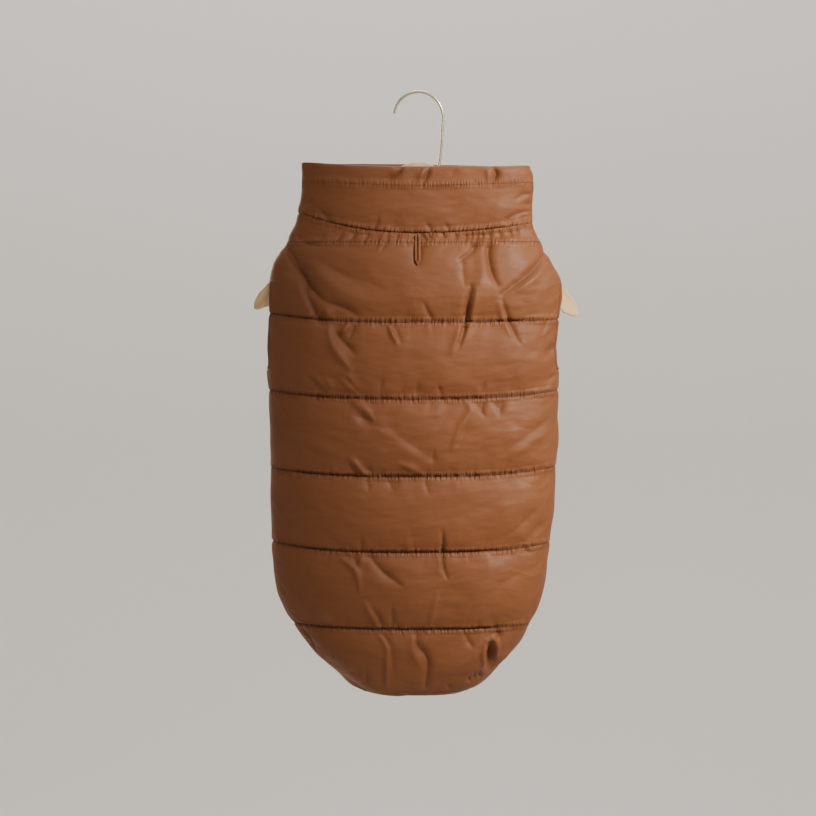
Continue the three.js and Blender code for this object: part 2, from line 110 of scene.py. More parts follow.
# Folds in the back panel: points seen from the front, width, and height, which is negative for a trough
Fold = namedtuple("Fold", "where path width height")
BACK_FOLDS = [
    Fold("left shoulder trough",
         [(-131, -154), (-123, -173), (-117, -181), (-109, -193), (-100, -203)], 8.5, -6),
    Fold("left shoulder fork",
         [(-113, -190), (-111, -200), (-106, -213), (-100, -224), (-97, -230)], 4.6, -4),
    Fold("left shoulder sweep",
         [(-103, -200), (-94, -208), (-84, -212), (-72, -217), (-60, -224)], 4.6, -2.8),
    Fold("left shoulder ridge", [(-119, -191), (-112, -208), (-106, -222)], 4.4, 2.2),
    Fold("fork ridge", [(-92, -217), (-86, -226)], 4, 1.8),
    Fold("left yoke trough", [(-101, -167), (-72, -184), (-49, -191), (-34, -198)], 9, -2.4),
    Fold("left yoke ridge", [(-102, -179), (-72, -201), (-50, -212)], 9, 1.9),
    Fold("pleat above the stitching", [(-33, -141), (-36, -149), (-39, -158)], 2.2, 1.9),
    Fold("pleat above the stitching", [(-30, -141), (-32, -150), (-37, -160)], 2.4, -1.6),
    Fold("under left shoulder ridge", [(-88, -235), (-86, -249), (-77, -264), (-67, -277)], 4.5, 2.6),
    Fold("under left shoulder trough", [(-82, -240), (-75, -248), (-63, -261)], 4.5, -2.8),
    Fold("gathered ridge", [(-68, -231), (-76, -243)], 3.5, 1.6),
    Fold("gathered trough", [(-62, -231), (-68, -245)], 3, -1.6),
    Fold("short ridge", [(-29, -232), (-23, -248)], 2.2, 1.3),
    Fold("rising ridge", [(-91, -286), (-84, -297)], 3, 1.3),
    Fold("rising ridge", [(-70, -282), (-59, -298)], 4, 1.7),
    Fold("neck gather", [(4, -142), (9, -150)], 2, -1.9),
    Fold("neck gather", [(9, -141), (13, -148)], 2, -1.7),
    Fold("neck gather", [(23, -140), (27, -147)], 2, -1.6),
    Fold("neck gather", [(36, -140), (38, -149)], 2.2, -1.6),
    Fold("neck gather", [(47, -140), (48, -149)], 2.2, -2.2),
    Fold("neck gather", [(53, -140), (53, -148)], 2.2, -1.6),
    Fold("neck gather", [(63, -140), (64, -148)], 2.2, -2),
    Fold("neck gather", [(80, -138), (82, -149)], 2.2, -1.5),
    Fold("neck gather", [(90, -136), (93, -146)], 2.2, -1.6),
    Fold("neck gather", [(97, -135), (100, -145)], 2.2, -1.4),
    Fold("neck gather", [(-20, -141), (-22, -150)], 2.2, -1.3),
    Fold("neck gather", [(-48, -140), (-56, -152)], 2.4, -1.4),
    Fold("neck gather", [(-62, -139), (-69, -152)], 2.6, -1.6),
    Fold("neck gather", [(-75, -142), (-84, -151)], 2.6, -1.5),
    Fold("neck gather", [(-93, -143), (-101, -151)], 2.6, -1.5),
    Fold("neck fold", [(-121, -143), (-111, -150), (-102, -152)], 3.6, -2),
    Fold("right shoulder trough",
         [(71, -139), (69.7, -154), (69, -162), (70.5, -173), (74, -186), (78, -193)], 3.4, -4.2),
    Fold("right shoulder ridge", [(64, -156), (65, -168), (61, -190), (56, -211)], 7, 1.6),
    Fold("inner right trough", [(59, -139), (58, -148), (55, -155), (51, -161), (41, -169)], 2.6, -3),
    Fold("inner right line", [(43, -166), (44, -182), (46, -194)], 3, -0.9),
    Fold("pleat trough", [(52, -195), (49, -208), (46.6, -224), (44.3, -240), (40, -252)], 2.6, -4.2),
    Fold("pleat ridge", [(57, -199), (52, -228), (42, -254)], 3.4, 1.8),
    Fold("right shoulder slope", [(127, -158), (120, -170), (106, -185), (88, -198), (82, -203)], 3.6, -3.8),
    Fold("right shoulder lip", [(124, -176), (114, -186), (98, -198)], 3.4, 1.5),
    Fold("thin crease", [(83, -209), (88, -226), (95, -242), (100, -251)], 2.2, -2.4),
    Fold("thin crease lip", [(79, -212), (84, -228), (90, -242)], 3, 1),
    # the slit's trough also gets painted shade: the dark line between the lips
    Fold("slit hollow", [(-0.5, -134), (-0.5, -152), (-0.5, -171)], 6, -3.6),
    Fold("short crease", [(6, -213), (9, -220), (14, -230)], 2.6, -1.8),
    Fold("edge pinch", [(137, -250), (124, -262)], 4, -1.8),
    Fold("low ridge", [(-65, -307), (-51, -320)], 4, 1.8),
    Fold("low trough", [(-61, -323), (-45, -328)], 4.5, -1.6),
    Fold("rising ridge", [(-65, -364), (-51, -381)], 4.2, 1.7),
    Fold("gather", [(64, -307), (62, -319)], 2.6, -1.4),
    Fold("gather", [(83, -306), (80, -321)], 2.8, -1.5),
    Fold("gather", [(-51, -381), (-49, -396)], 3, -1.2),
    Fold("star crease", [(-30, -382), (-26, -394)], 2.6, -1),
    Fold("star crease", [(-19, -382), (-25, -392)], 2.6, -0.9),
    Fold("rising gather", [(-57, -440), (-56, -455)], 3, -1.2),
    Fold("right drag line", [(122, -410), (104, -427), (85, -442)], 6.5, -1.8),
    Fold("right drag line", [(125, -426), (105, -446)], 4.5, -1.4),
    Fold("gather", [(6, -386), (10, -398)], 2.6, -0.9),
    Fold("drag ridge", [(-106, -280), (-96, -291), (-86, -301)], 4, 1.2),
    Fold("drag trough", [(-110, -284), (-94, -299)], 4, -1.0),
    Fold("drag ridge", [(-76, -287), (-62, -299)], 3, 1.3),
    Fold("drag trough", [(-70, -287), (-57, -300)], 3, -1.5),
    Fold("short gather", [(-36, -288), (-38, -299)], 2.6, -1.2),
    Fold("short gather", [(0, -290), (-3, -301)], 2.8, -1.2),
    Fold("short gather", [(19, -293), (22, -301)], 2.8, -1.1),
    Fold("short gather", [(65, -289), (61, -300)], 2.8, -1.3),
    Fold("short ridge", [(-30, -234), (-21, -252)], 2.4, 1.5),
    Fold("short trough", [(-26, -233), (-17, -250)], 2.6, -1.2),
    Fold("short ridge", [(-67, -232), (-77, -243)], 2.6, 1.6),
    Fold("facet", [(43, -230), (38, -245), (32, -260)], 3.2, 1.5),
    Fold("drooping ridge", [(-57, -309), (-51, -316), (-44, -328)], 3, 1.3),
    Fold("drooping trough", [(-62, -316), (-49, -329), (-34, -335)], 4, -1.2),
    Fold("forked ridge", [(47, -309), (51, -318), (41, -335), (33, -354)], 3.4, 1.6),
    Fold("forked trough", [(51, -321), (46, -335), (39, -350)], 3.2, -1.3),
    Fold("short gather", [(57, -310), (65, -322)], 2.6, -1.3),
    Fold("short gather", [(74, -309), (81, -318)], 2.6, -1.1),
    Fold("long drag ridge", [(-46, -331), (-21, -348), (5, -367)], 7, 1.0),
    Fold("long drag trough", [(-31, -333), (-8, -350), (15, -365)], 7, -1.0),
    Fold("left drag ridge", [(-128, -341), (-98, -354), (-76, -363)], 5, 0.9),
    Fold("right drag line", [(133, -324), (109, -341), (86, -357)], 5, -1.3),
    Fold("right drag ridge", [(131, -335), (109, -350), (92, -363)], 5, 1.1),
    Fold("edge wrinkle", [(137, -254), (126, -264)], 3, -1.8),
    Fold("edge wrinkle", [(137, -281), (126, -288)], 3, -1.3),
    Fold("low ridge", [(-68, -365), (-58, -372), (-50, -381)], 3.4, 1.6),
    Fold("low trough", [(-61, -367), (-46, -379)], 3.4, -1.4),
    Fold("low ridge", [(-19, -369), (-8, -373), (5, -380)], 3.4, 1.3),
    Fold("crossing line", [(15, -356), (14, -371)], 2.4, -1),
    Fold("star ridge", [(-76, -463), (-62, -474), (-58, -493)], 3.2, 2.2),
    Fold("star ridge", [(-53, -459), (-61, -472)], 3, 1.6),
    Fold("star trough", [(-48, -460), (-40, -470), (-31, -479), (-18, -488)], 4, -2.8),
    Fold("star trough", [(-62, -463), (-59, -473)], 2.6, -1.4),
    Fold("crossing crease", [(23, -435), (24, -446), (23, -456), (24, -470), (28, -481)], 2.4, -2.6),
    Fold("crossing crease lip", [(21, -457), (21, -470)], 2.4, 1.1),
    Fold("low ridge", [(-53, -506), (-46, -519), (-40, -531)], 3, 1.5),
    Fold("low trough", [(-47, -510), (-40, -521), (-36, -531)], 3, -1.6),
    Fold("low line", [(-26, -510), (-26, -529)], 2.6, -1.3),
    Fold("low line", [(18, -498), (11, -529)], 3, 0.9),
    Fold("left rising ridge", [(-101, -513), (-93, -519), (-85, -528)], 3.2, 1.6),
    Fold("left drag line", [(-110, -500), (-89, -504)], 3, -0.9),
    Fold("right gather", [(103, -451), (110, -457)], 2.4, -2),
    Fold("drag line", [(71, -497), (92, -482), (112, -475)], 6, -0.9),
    Fold("tail edge crease", [(-116, -534), (-110, -542), (-103, -554)], 2.4, -2.4),
    Fold("long tail ridge", [(-38, -540), (-31, -551), (-31, -566), (-32, -591)], 3, 2),
    Fold("long tail trough", [(-36, -536), (-28, -551), (-26, -570)], 3.4, -1.5),
    Fold("tail trough", [(-2, -536), (-1, -549), (9, -564), (7, -592)], 4.4, -3),
    Fold("tail ridge", [(-6, -540), (-5, -555), (2, -570)], 4, 1.2),
    Fold("tail gather", [(46, -537), (49, -544), (53, -550)], 3, -1.6),
    Fold("pocket", [(71, -549), (72, -557), (72, -566), (71, -573)], 4.4, -7.5),
    Fold("pocket lip left", [(64, -569), (65, -555), (68, -545)], 2.6, 2.4),
    Fold("pocket lip right", [(68, -545), (75, -543), (78, -551), (78, -562)], 2.6, 2.4),
    Fold("pocket crease", [(78, -532), (81, -544)], 2.8, -2.4),
    Fold("hem gather", [(50, -581), (52, -587)], 2.4, -2),
    Fold("hem gather", [(55, -578), (57, -585)], 2.4, -2.2),
    Fold("hem gather", [(60, -576), (62, -583)], 2.4, -2),
    Fold("hem gather", [(30, -589), (31, -595)], 2.6, -1.3),
    Fold("hem notch", [(-51, -576), (-51, -592)], 3.2, -1.6),
]
BELLY_FOLDS = [
    Fold("left armhole drag line", [(-112, -196), (-88, -214), (-60, -222)], 8, -2.6),
    Fold("right armhole drag line", [(108, -200), (82, -212), (58, -228)], 7, -2.4),
    Fold("breast crease", [(-18, -160), (-12, -186), (-20, -208)], 4.5, -1.9),
    Fold("breast ridge", [(-6, -166), (0, -190)], 4, 1.3),
    Fold("left chest trough", [(-70, -252), (-52, -268), (-40, -290)], 5.5, -1.9),
    Fold("right chest ridge", [(44, -250), (52, -270), (48, -288)], 4.5, 1.6),
    Fold("right chest trough", [(92, -256), (80, -276)], 5, -1.8),
    Fold("belly ridge", [(-86, -330), (-72, -348), (-70, -362)], 4.5, 1.5),
    Fold("belly trough", [(18, -316), (24, -334), (14, -352)], 4.5, -1.7),
    Fold("belly gather", [(66, -314), (62, -328)], 3.2, -1.1),
    Fold("hem ridge", [(-34, -410), (-28, -436), (-30, -452)], 4.2, 1.5),
    Fold("hem trough", [(58, -420), (50, -440), (52, -456)], 4.4, -1.7),
    Fold("hem gather", [(-92, -430), (-90, -450)], 3.2, -1.3),
    Fold("yoke gather", [(-58, -142), (-54, -152)], 2.4, -1.5),
    Fold("yoke gather", [(-34, -145), (-36, -155)], 2.4, -1.4),
    Fold("yoke gather", [(26, -146), (22, -156)], 2.4, -1.5),
    Fold("yoke gather", [(63, -142), (66, -152)], 2.6, -1.4),
    Fold("chest drag ridge", [(-98, -178), (-76, -196), (-40, -206)], 7, 1.4),
    Fold("chest pleat", [(36, -208), (32, -226), (38, -244)], 3, -2.4),
    Fold("chest pleat lip", [(42, -210), (39, -232)], 3.4, 1.2),
    Fold("rising ridge", [(-22, -272), (-10, -300)], 3.6, 1.3),
    Fold("rising gather", [(-60, -288), (-52, -304)], 3, -1.4),
    Fold("falling gather", [(-38, -306), (-44, -322)], 3, -1.4),
    Fold("falling gather", [(-8, -308), (-2, -326)], 3, -1.2),
    Fold("falling gather", [(98, -304), (90, -320)], 3, -1.4),
    Fold("long drag line", [(-110, -392), (-70, -372), (-38, -368)], 6, -1.3),
    Fold("forked ridge", [(30, -384), (40, -404), (36, -424)], 3.4, 1.6),
    Fold("forked trough", [(46, -386), (46, -412)], 3.2, -1.6),
    Fold("falling gather", [(-64, -386), (-58, -404)], 3, -1.4),
    Fold("side drag line", [(116, -350), (94, -362), (70, -364)], 5, -1.2),
]
COLLAR_FOLDS = [
    Fold("casing crease", [(-16, -75), (-19, -81), (-24, -85), (-31, -88.5)], 2.4, -3.2),
    Fold("casing crease lip", [(-21, -78), (-28, -83)], 3, 1.2),
    Fold("casing crease", [(11.5, -75), (8, -85), (3.5, -94)], 2.2, -3),
    Fold("casing crease lip", [(6, -78), (1, -91)], 2.6, 1),
    Fold("casing crease", [(73, -74.5), (77, -80), (76.5, -86), (72, -93)], 2.6, -3.8),
    Fold("casing crease lip", [(68, -78), (70, -88)], 2.6, 0.9),
    Fold("casing dent", [(38, -75), (32, -84)], 4, -0.9),
    Fold("upper end wrinkle", [(113, -101), (105, -102), (98, -107)], 3, -1.5),
    Fold("upper end wrinkle", [(113, -111), (106, -111)], 2.8, -1.3),
    Fold("end wrinkle", [(112, -118), (100, -121), (88, -127)], 2, -1.6),
    Fold("end wrinkle", [(110, -124), (102, -126)], 2, -0.9),
    Fold("left end wrinkle", [(-114, -112), (-105, -107)], 3.4, -1.6),
    Fold("left end wrinkle", [(-98, -118), (-87, -131)], 3.4, -1.5),
    Fold("low crease", [(-40, -127), (-42, -134), (-47, -139)], 2.4, -1.9),
    Fold("low crease", [(-18, -121), (-31, -139)], 4.5, -1.1),
    Fold("low crease", [(8, -132), (13, -140)], 2.6, -1.4),
    Fold("low crease", [(27, -133), (31, -140)], 2.4, -1.3),
    Fold("low crease", [(92, -126), (86, -134)], 3, -1.2),
]

COLLAR_BACK_FOLDS = [
    Fold("casing crease", [(-52, -75), (-48, -84), (-50, -92)], 2.6, -2.4),
    Fold("casing crease", [(30, -75), (26, -83), (18, -89)], 2.6, -2.2),
    Fold("casing crease", [(88, -76), (91, -90)], 2.6, -1.8),
    Fold("drag line", [(-100, -124), (-70, -112), (-44, -110)], 5, -1.2),
    Fold("low crease", [(-8, -126), (-2, -142)], 2.8, -1.4),
    Fold("low crease", [(58, -124), (50, -140)], 3, -1.6),
    Fold("end wrinkle", [(-112, -104), (-98, -109)], 2.6, -1.2),
    Fold("end wrinkle", [(111, -112), (96, -120)], 2.8, -1.3),
]

# Armholes: how far down the sides they reach, and the degrees that each panel's edge draws back to
ARMHOLE_TOP = -189
ARMHOLE_BOTTOM = -276
ARMHOLE_BACK_EDGE = 80
ARMHOLE_BELLY_EDGE = 124

# Hanger: the outline of one half of the plate from the top of its crown, and the hook's wire
PLATE_THICKNESS = 12
PLATE_ROUNDING = 2.2
PLATE_TILT = math.radians(1.2)
PLATE_TOP = (0.6, -69.6)
CROWN_RADIUS = 40
PLATE_UPPER = [(27.4, -10.9), (146, -122.7), (151, -127.2), (156, -132.6), (159.8, -138.6), (161.7, -144.4)]
PLATE_LOWER = [(161, -149.4), (156.5, -149.6), (151, -147.2), (146.5, -144.5), (136, -136.3), (48, -59.5),
               (34, -48.5), (18, -39.5), (0, -36)]
WIRE_DIAMETER = 3
WIRE_BEND = 24.5
WIRE_TIP = math.radians(170)
WIRE_ENTRY = (20.4, -74.6)
WIRE_IN_WOOD = 14
WIRE_SIDES = 20

def column_at(column, z):
    """One column of the outline table at each height, as a smooth curve through its rows."""
    keys = np.array([row.z for row in SECTIONS], float)
    values = np.array([getattr(row, column) for row in SECTIONS], float)
    last = len(keys) - 1
    after = np.minimum(np.arange(last + 1) + 1, last)
    before = np.maximum(np.arange(last + 1) - 1, 0)
    slopes = (values[after] - values[before]) / (keys[after] - keys[before])
    below = np.clip(np.searchsorted(-keys, -z), 1, last)
    above = below - 1
    step = keys[below] - keys[above]
    t = np.clip((z - keys[above]) / step, 0, 1)
    straight = values[above] + (values[below] - values[above]) * t * t * (3 - 2 * t)
    return straight + slopes[above] * step * t * (1 - t) ** 2 - slopes[below] * step * t * t * (1 - t)


def outline(column, z):
    """The coat's edge or depth at each height, with the tail eased over where its end starts."""
    reach = TAIL_EASE * np.clip((z - TAIL_EASE_END) / TAIL_EASE_FADE, 0, 1) * (z < TAIL_EASE_START)
    return sum(raw_outline(column, z + reach * step) for step in (-1, -0.5, 0, 0.5, 1)) / 5


def raw_outline(column, z):
    """The same before it is eased: the table's curve, and below its last row the tail's rounded end."""
    lowest = SECTIONS[-1]
    radius = TAIL_ABOVE + TAIL_DROP
    down = np.clip((TAIL_ABOVE + lowest.z - z) / radius, TAIL_ABOVE / radius, 1)
    rounding = ((1 - down**TAIL_POWER) / (1 - (TAIL_ABOVE / radius) ** TAIL_POWER)) ** (1 / TAIL_POWER)
    middle = TAIL_MIDDLE if column in ("left", "right") else 0
    end = middle + (getattr(lowest, column) - middle) * rounding
    return np.where(z >= lowest.z, column_at(column, np.maximum(z, lowest.z)), end)


def between_lines(column, level):
    """A value of the lines table at a level: 3.5 is halfway between the lines 3 and 4."""
    return np.interp(level, range(len(LINES)), [getattr(line, column) for line in LINES])


def inside_points(level, degrees):
    """Points on the inside of the cloth, by level and by angle round the tube from the middle of the back."""
    across = np.sin(np.radians(degrees))
    depth = (1 - np.abs(across) ** SECTION_POWER) ** (1 / SECTION_POWER)
    left_z, right_z = between_lines("left", level), between_lines("right", level)
    left = outline("left", left_z) + WALL
    right = outline("right", right_z) - WALL
    x = left + (right - left) * (1 + across) / 2
    front = (outline("front", left_z) + outline("front", right_z)) / 2
    back = (outline("back", left_z) + outline("back", right_z)) / 2
    on_back = np.abs(degrees) <= 90
    middle = between_lines("middle", level)
    edge = np.where(across < 0, left_z, right_z)
    z_back = middle + (edge - middle) * np.abs(across) ** between_lines("turn", level)
    z_belly = left_z + (right_z - left_z) * (1 + across) / 2 - between_lines("sag", level) * (1 - across**2)
    y = np.where(on_back, -front, back) * depth
    return np.stack([x, y, np.where(on_back, z_back, z_belly)], axis=-1)


def unit(vectors):
    """The same directions with a length of 1."""
    return vectors / np.maximum(np.linalg.norm(vectors, axis=-1, keepdims=True), 1e-12)


def outward(level, degrees):
    """The direction out of the cloth, from the inside surface's own slopes."""
    up = np.minimum(level + 0.02, len(LINES) - 1)
    down = np.maximum(level - 0.02, 0)
    along = inside_points(up, degrees) - inside_points(down, degrees)
    around = inside_points(level, degrees + 0.5) - inside_points(level, degrees - 0.5)
    return unit(np.cross(along, around))


def side_share(degrees):
    """How much of the padding is left: all of it in the middle of a panel and little at its sides."""
    toward = np.clip((np.abs(np.sin(np.radians(degrees))) - 0.7) / 0.3, 0, 1)
    return 1 + (SIDE_PUFF - 1) * toward * toward * (3 - 2 * toward)


def padding(level, degrees):
    """The height of the padding over the stitched wall, drawn in at each sewn line."""
    row = np.minimum(level.astype(int), len(LINES) - 2)
    t = level - row
    swell = (4 * t * (1 - t)) ** PUFF_POWER
    draws = np.array([line.draw for line in LINES])
    draw = np.where(t < 0.5, draws[row], draws[row + 1])
    middles = np.arange(len(LINES)) + 0.5
    back, belly = (np.array([getattr(line, side) for line in LINES], float) for side in ("puff", "belly"))
    on_back = np.abs(degrees) <= 90
    own = np.where(on_back, back[row], belly[row])
    shared = np.where(on_back, np.interp(level, middles, back), np.interp(level, middles, belly))
    return (own * swell * draw + shared * (1 - draw)) * side_share(degrees)


def even_levels(first, counts):
    """Levels from a first line on, with a number of even steps for each stretch between lines."""
    steps = [first + k + np.arange(1, count + 1) / count for k, count in enumerate(counts)]
    return np.concatenate([[first], *steps])


def even_angles(start, end, count):
    """Angles from start to end that are evenly spaced along the cloth."""
    fine = np.linspace(start, end, 2001)
    ring = inside_points(np.full_like(fine, NECK_STITCHING + 2.5), fine)
    length = np.concatenate([[0], np.cumsum(np.linalg.norm(np.diff(ring, axis=0), axis=1))])
    return np.interp(np.linspace(0, length[-1], count + 1), length, fine)


def armhole_share(z):
    """From 0 outside an armhole's height to 1 along its straight part."""
    middle = (ARMHOLE_TOP + ARMHOLE_BOTTOM) / 2
    t = np.clip(np.abs(z - middle) / (ARMHOLE_TOP - middle), 0, 1)
    return (1 - t**6) ** (1 / 6)


def back_edge(level):
    """The degrees at which the back panel ends, on each row."""
    tail = np.clip(1.6 * (level - BELLY_HEM) / (TAIL_HEM - BELLY_HEM), 0, 1)
    edge = SIDE_SEAM - SEAM_ANGLE + (TAIL_EDGE - SIDE_SEAM + SEAM_ANGLE) * tail
    z = (between_lines("left", level) + between_lines("right", level)) / 2
    return edge + (ARMHOLE_BACK_EDGE - edge) * armhole_share(z)


def belly_edge(level):
    """The degrees at which the belly panel starts, on each row."""
    z = (between_lines("left", level) + between_lines("right", level)) / 2
    edge = SIDE_SEAM + SEAM_ANGLE
    return edge + (ARMHOLE_BELLY_EDGE - edge) * armhole_share(z)


def double_rows(grid):
    """Twice as many rows of points, on a smooth curve through the old ones."""
    padded = np.concatenate([2 * grid[:1] - grid[1:2], grid, 2 * grid[-1:] - grid[-2:-1]])
    middles = (9 * (grid[:-1] + grid[1:]) - padded[:-3] - padded[3:]) / 16
    made = np.empty((2 * len(grid) - 1, *grid.shape[1:]))
    made[::2] = grid
    made[1::2] = middles
    return made


def double_grid(grid, closed):
    """Twice as many rows and columns. A closed grid's columns run round to the first one again."""
    made = double_rows(grid)
    if not closed:
        return double_rows(made.swapaxes(0, 1)).swapaxes(0, 1)
    turned = made.swapaxes(0, 1)
    wrapped = np.concatenate([turned[-3:], turned, turned[:3]])
    return double_rows(wrapped)[6:-5].swapaxes(0, 1)


def grid_normals(grid, closed):
    """The directions out of a grid whose rows run down and whose columns run to the coat's right."""
    down = np.gradient(grid, axis=0)
    if closed:
        wide = np.concatenate([grid[:, -1:], grid, grid[:, :1]], axis=1)
        across = np.gradient(wide, axis=1)[:, 1:-1]
    else:
        across = np.gradient(grid, axis=1)
    return unit(np.cross(down, across))


def grid_faces(rows, columns, closed):
    """Quads over a grid of points. A closed grid's last column joins its first."""
    row, column = np.mgrid[0 : rows - 1, 0 : columns - (0 if closed else 1)]
    after = (column + 1) % columns
    upper, lower = row * columns, (row + 1) * columns
    corners = [upper + column, lower + column, lower + after, upper + after]
    return np.stack(corners, axis=-1).reshape(-1, 4)


def place_in_scene(name, data):
    """A new object in the scene that shows a mesh, a light or the camera."""
    made = bpy.data.objects.new(name, data)
    bpy.context.scene.collection.objects.link(made)
    return made


def shade_smooth(mesh):
    for polygon in mesh.polygons:
        polygon.use_smooth = True


def new_object(name, points, faces):
    """A mesh object from points in millimetres."""
    mesh = bpy.data.meshes.new(name)
    mesh.from_pydata((np.asarray(points) * MM).tolist(), [], [list(face) for face in faces])
    mesh.validate()
    return place_in_scene(name, mesh)


# The simulation: how many frames it runs, and how far in millimetres it may move the cloth
FRAMES = 18
FARTHEST = 7


def inflate(name, grid, sewn, closed, pressure, cap):
    """Lets a grid of cloth swell between the rows where it is sewn down, with Blender's cloth simulation."""
    rows, columns = grid.shape[:2]
    skin = new_object(name, grid.reshape(-1, 3), grid_faces(rows, columns, closed))
    held = np.zeros((rows, columns), bool)
    held[sewn] = True
    if not closed:
        held[:, [0, -1]] = True
    group = skin.vertex_groups.new(name="sewn")
    group.add(np.flatnonzero(held).tolist(), 1.0, "REPLACE")
    cloth = skin.modifiers.new("Cloth", "CLOTH")
    settings = cloth.settings
    settings.quality = 5
    settings.mass = 0.12
    settings.tension_stiffness = 20
    settings.compression_stiffness = 20
    settings.shear_stiffness = 8
    settings.bending_stiffness = 0.5
    settings.air_damping = 2
    settings.vertex_group_mass = "sewn"
    settings.use_pressure = True
    settings.uniform_pressure_force = pressure
    settings.effector_weights.gravity = 0
    cloth.collision_settings.use_collision = False
    cloth.collision_settings.use_self_collision = False
    scene = bpy.context.scene
    cloth.point_cache.frame_start = 1
    cloth.point_cache.frame_end = FRAMES
    for step in range(1, FRAMES + 1):
        scene.frame_set(step)
    shaped = skin.evaluated_get(bpy.context.evaluated_depsgraph_get()).data
    points = np.empty(len(shaped.vertices) * 3)
    shaped.vertices.foreach_get("co", points)
    bpy.data.objects.remove(skin)
    moved = points.reshape(grid.shape) / MM - grid
    far = np.linalg.norm(moved, axis=-1, keepdims=True)
    return grid + moved * np.minimum(1, cap / np.maximum(far, 1e-9))


def smooth_path(path, count=24):
    """A polyline of count points on a smooth curve through a few."""
    path = np.array(path, float)
    for _ in range(3):
        if len(path) > 2:
            path = double_rows(path)
    length = np.concatenate([[0], np.cumsum(np.linalg.norm(np.diff(path, axis=0), axis=1))])
    at = np.linspace(0, length[-1], count)
    return np.stack([np.interp(at, length, path[:, 0]), np.interp(at, length, path[:, 1])], axis=-1)


# Folds stand this much higher than their tables say, and noise repeats after so many steps or cells
FOLD_LIFT = 1.25
NOISE_STEPS = 4096
NOISE_CELLS = 256


def fold_heights(folds, x, z):
    """The height of all the folds at each point, seen from the front, and the painted shade that darkens their
    troughs.

    Each fold fades out at its ends. A trough is a sharper line than a ridge.
    """
    height = np.zeros_like(x)
    shade = np.zeros_like(x)
    for fold in folds:
        path = smooth_path(fold.path, 40)
        near = 4 * fold.width
        close = (x > path[:, 0].min() - near) & (x < path[:, 0].max() + near)
        close &= (z > path[:, 1].min() - near) & (z < path[:, 1].max() + near)
        if not close.any():
            continue
        px, pz = x[close], z[close]
        away = np.hypot(px[:, None] - path[:, 0], pz[:, None] - path[:, 1])
        nearest = away.argmin(axis=1)
        along = nearest / (len(path) - 1)
        width = fold.width * (0.65 + 0.7 * np.sin(np.pi * np.clip(along, 0.08, 0.92)) ** 0.7)
        away = away[np.arange(len(px)), nearest]
        d = away / width
        taper = np.sin(np.pi * np.clip(0.1 + 0.8 * along, 0, 1)) ** 0.8
        if fold.height < 0:
            profile = (1 - 0.35 * d * d) * np.exp(-1.2 * d**1.2)
            # painted shade: a trough's colour is darkened along its line, most for a deep narrow trough
            dark = min(1, -fold.height / 3.2) * (2.4 / fold.width) ** 0.6
            dark = min(1, dark) * taper * np.exp(-((away / (0.45 * fold.width)) ** 2))
            shade[close] = np.maximum(shade[close], dark)
        else:
            profile = (1 - 0.4 * d * d) * np.exp(-1.1 * d**1.6)
        height[close] += FOLD_LIFT * fold.height * taper * profile
    return height, shade


def wave_noise(at, seed, octaves=3):
    """Smooth noise from -1 to 1 along a line, the same on every run."""
    total = np.zeros_like(at)
    for octave in range(octaves):
        numbers = np.random.default_rng(seed + octave).uniform(-1, 1, NOISE_STEPS)
        place = at * 2**octave
        low = np.floor(place).astype(int)
        t = place - low
        t = t * t * (3 - 2 * t)
        value = numbers[low % NOISE_STEPS] * (1 - t) + numbers[(low + 1) % NOISE_STEPS] * t
        total += value / 1.7**octave
    return total / 1.9


def field_noise(u, v, seed):
    """Smooth noise from -1 to 1 over the cloth."""
    numbers = np.random.default_rng(seed).uniform(-1, 1, (NOISE_CELLS, NOISE_CELLS))
    iu, iv = np.floor(u).astype(int), np.floor(v).astype(int)
    tu, tv = u - iu, v - iv
    tu, tv = tu * tu * (3 - 2 * tu), tv * tv * (3 - 2 * tv)

    def corner(a, b):
        return numbers[(iu + a) % NOISE_CELLS, (iv + b) % NOISE_CELLS]

    low = corner(0, 0) * (1 - tu) + corner(1, 0) * tu
    high = corner(0, 1) * (1 - tu) + corner(1, 1) * tu
    return low * (1 - tv) + high * tv


# Skins of the three padded pieces
RIM_STEPS = 3
COARSE = 4  # the plain inside has every fourth row and column
GROOVE_WIDTH = 1.1
# how wide the painted shade along a sewn line is, in millimetres
SEAM_SHADE_WIDTH = 1.3


def rim_loops(outer, inner, away):
    """Rounds a wall's edge: loops of points on a half circle from its outer edge to its inner one."""
    middle = (outer + inner) / 2
    half = (outer - inner) / 2
    radius = np.linalg.norm(half, axis=-1, keepdims=True)
    turns = np.pi * np.arange(1, RIM_STEPS + 1) / (RIM_STEPS + 1)
    return [middle + half * math.cos(a) + away * radius * math.sin(a) for a in turns]


def strip_faces(first, second):
    """Quads between two closed loops of point numbers that run the same way."""
    return np.stack([second, np.roll(second, -1), np.roll(first, -1), first], axis=-1).tolist()


def fan_faces(fine, coarse):
    """Triangles between a closed loop and one with a fourth of its points."""
    faces = []
    for k, corner in enumerate(coarse):
        following = coarse[(k + 1) % len(coarse)]
        run = [fine[(COARSE * k + step) % len(fine)] for step in range(COARSE + 1)]
        faces += [[run[0], run[1], corner], [run[1], run[2], corner], [run[2], following, corner]]
        faces += [[run[2], run[3], following], [run[3], run[4], following]]
    return faces


def border(rows, columns):
    """Point numbers round the edge of an open grid, down its left side first."""
    number = np.arange(rows * columns).reshape(rows, columns)
    return np.concatenate([number[:-1, 0], number[-1, :-1], number[:0:-1, -1], number[0, :0:-1]])


def border_away(grid):
    """At each point of an open grid's edge, the direction that leads off it."""
    down, across = np.gradient(grid, axis=0), np.gradient(grid, axis=1)
    left, right = -across[:-1, 0], across[:0:-1, -1]
    bottom, top = down[-1, :-1], -down[0, :0:-1]
    return unit(np.concatenate([left, bottom, right, top]))


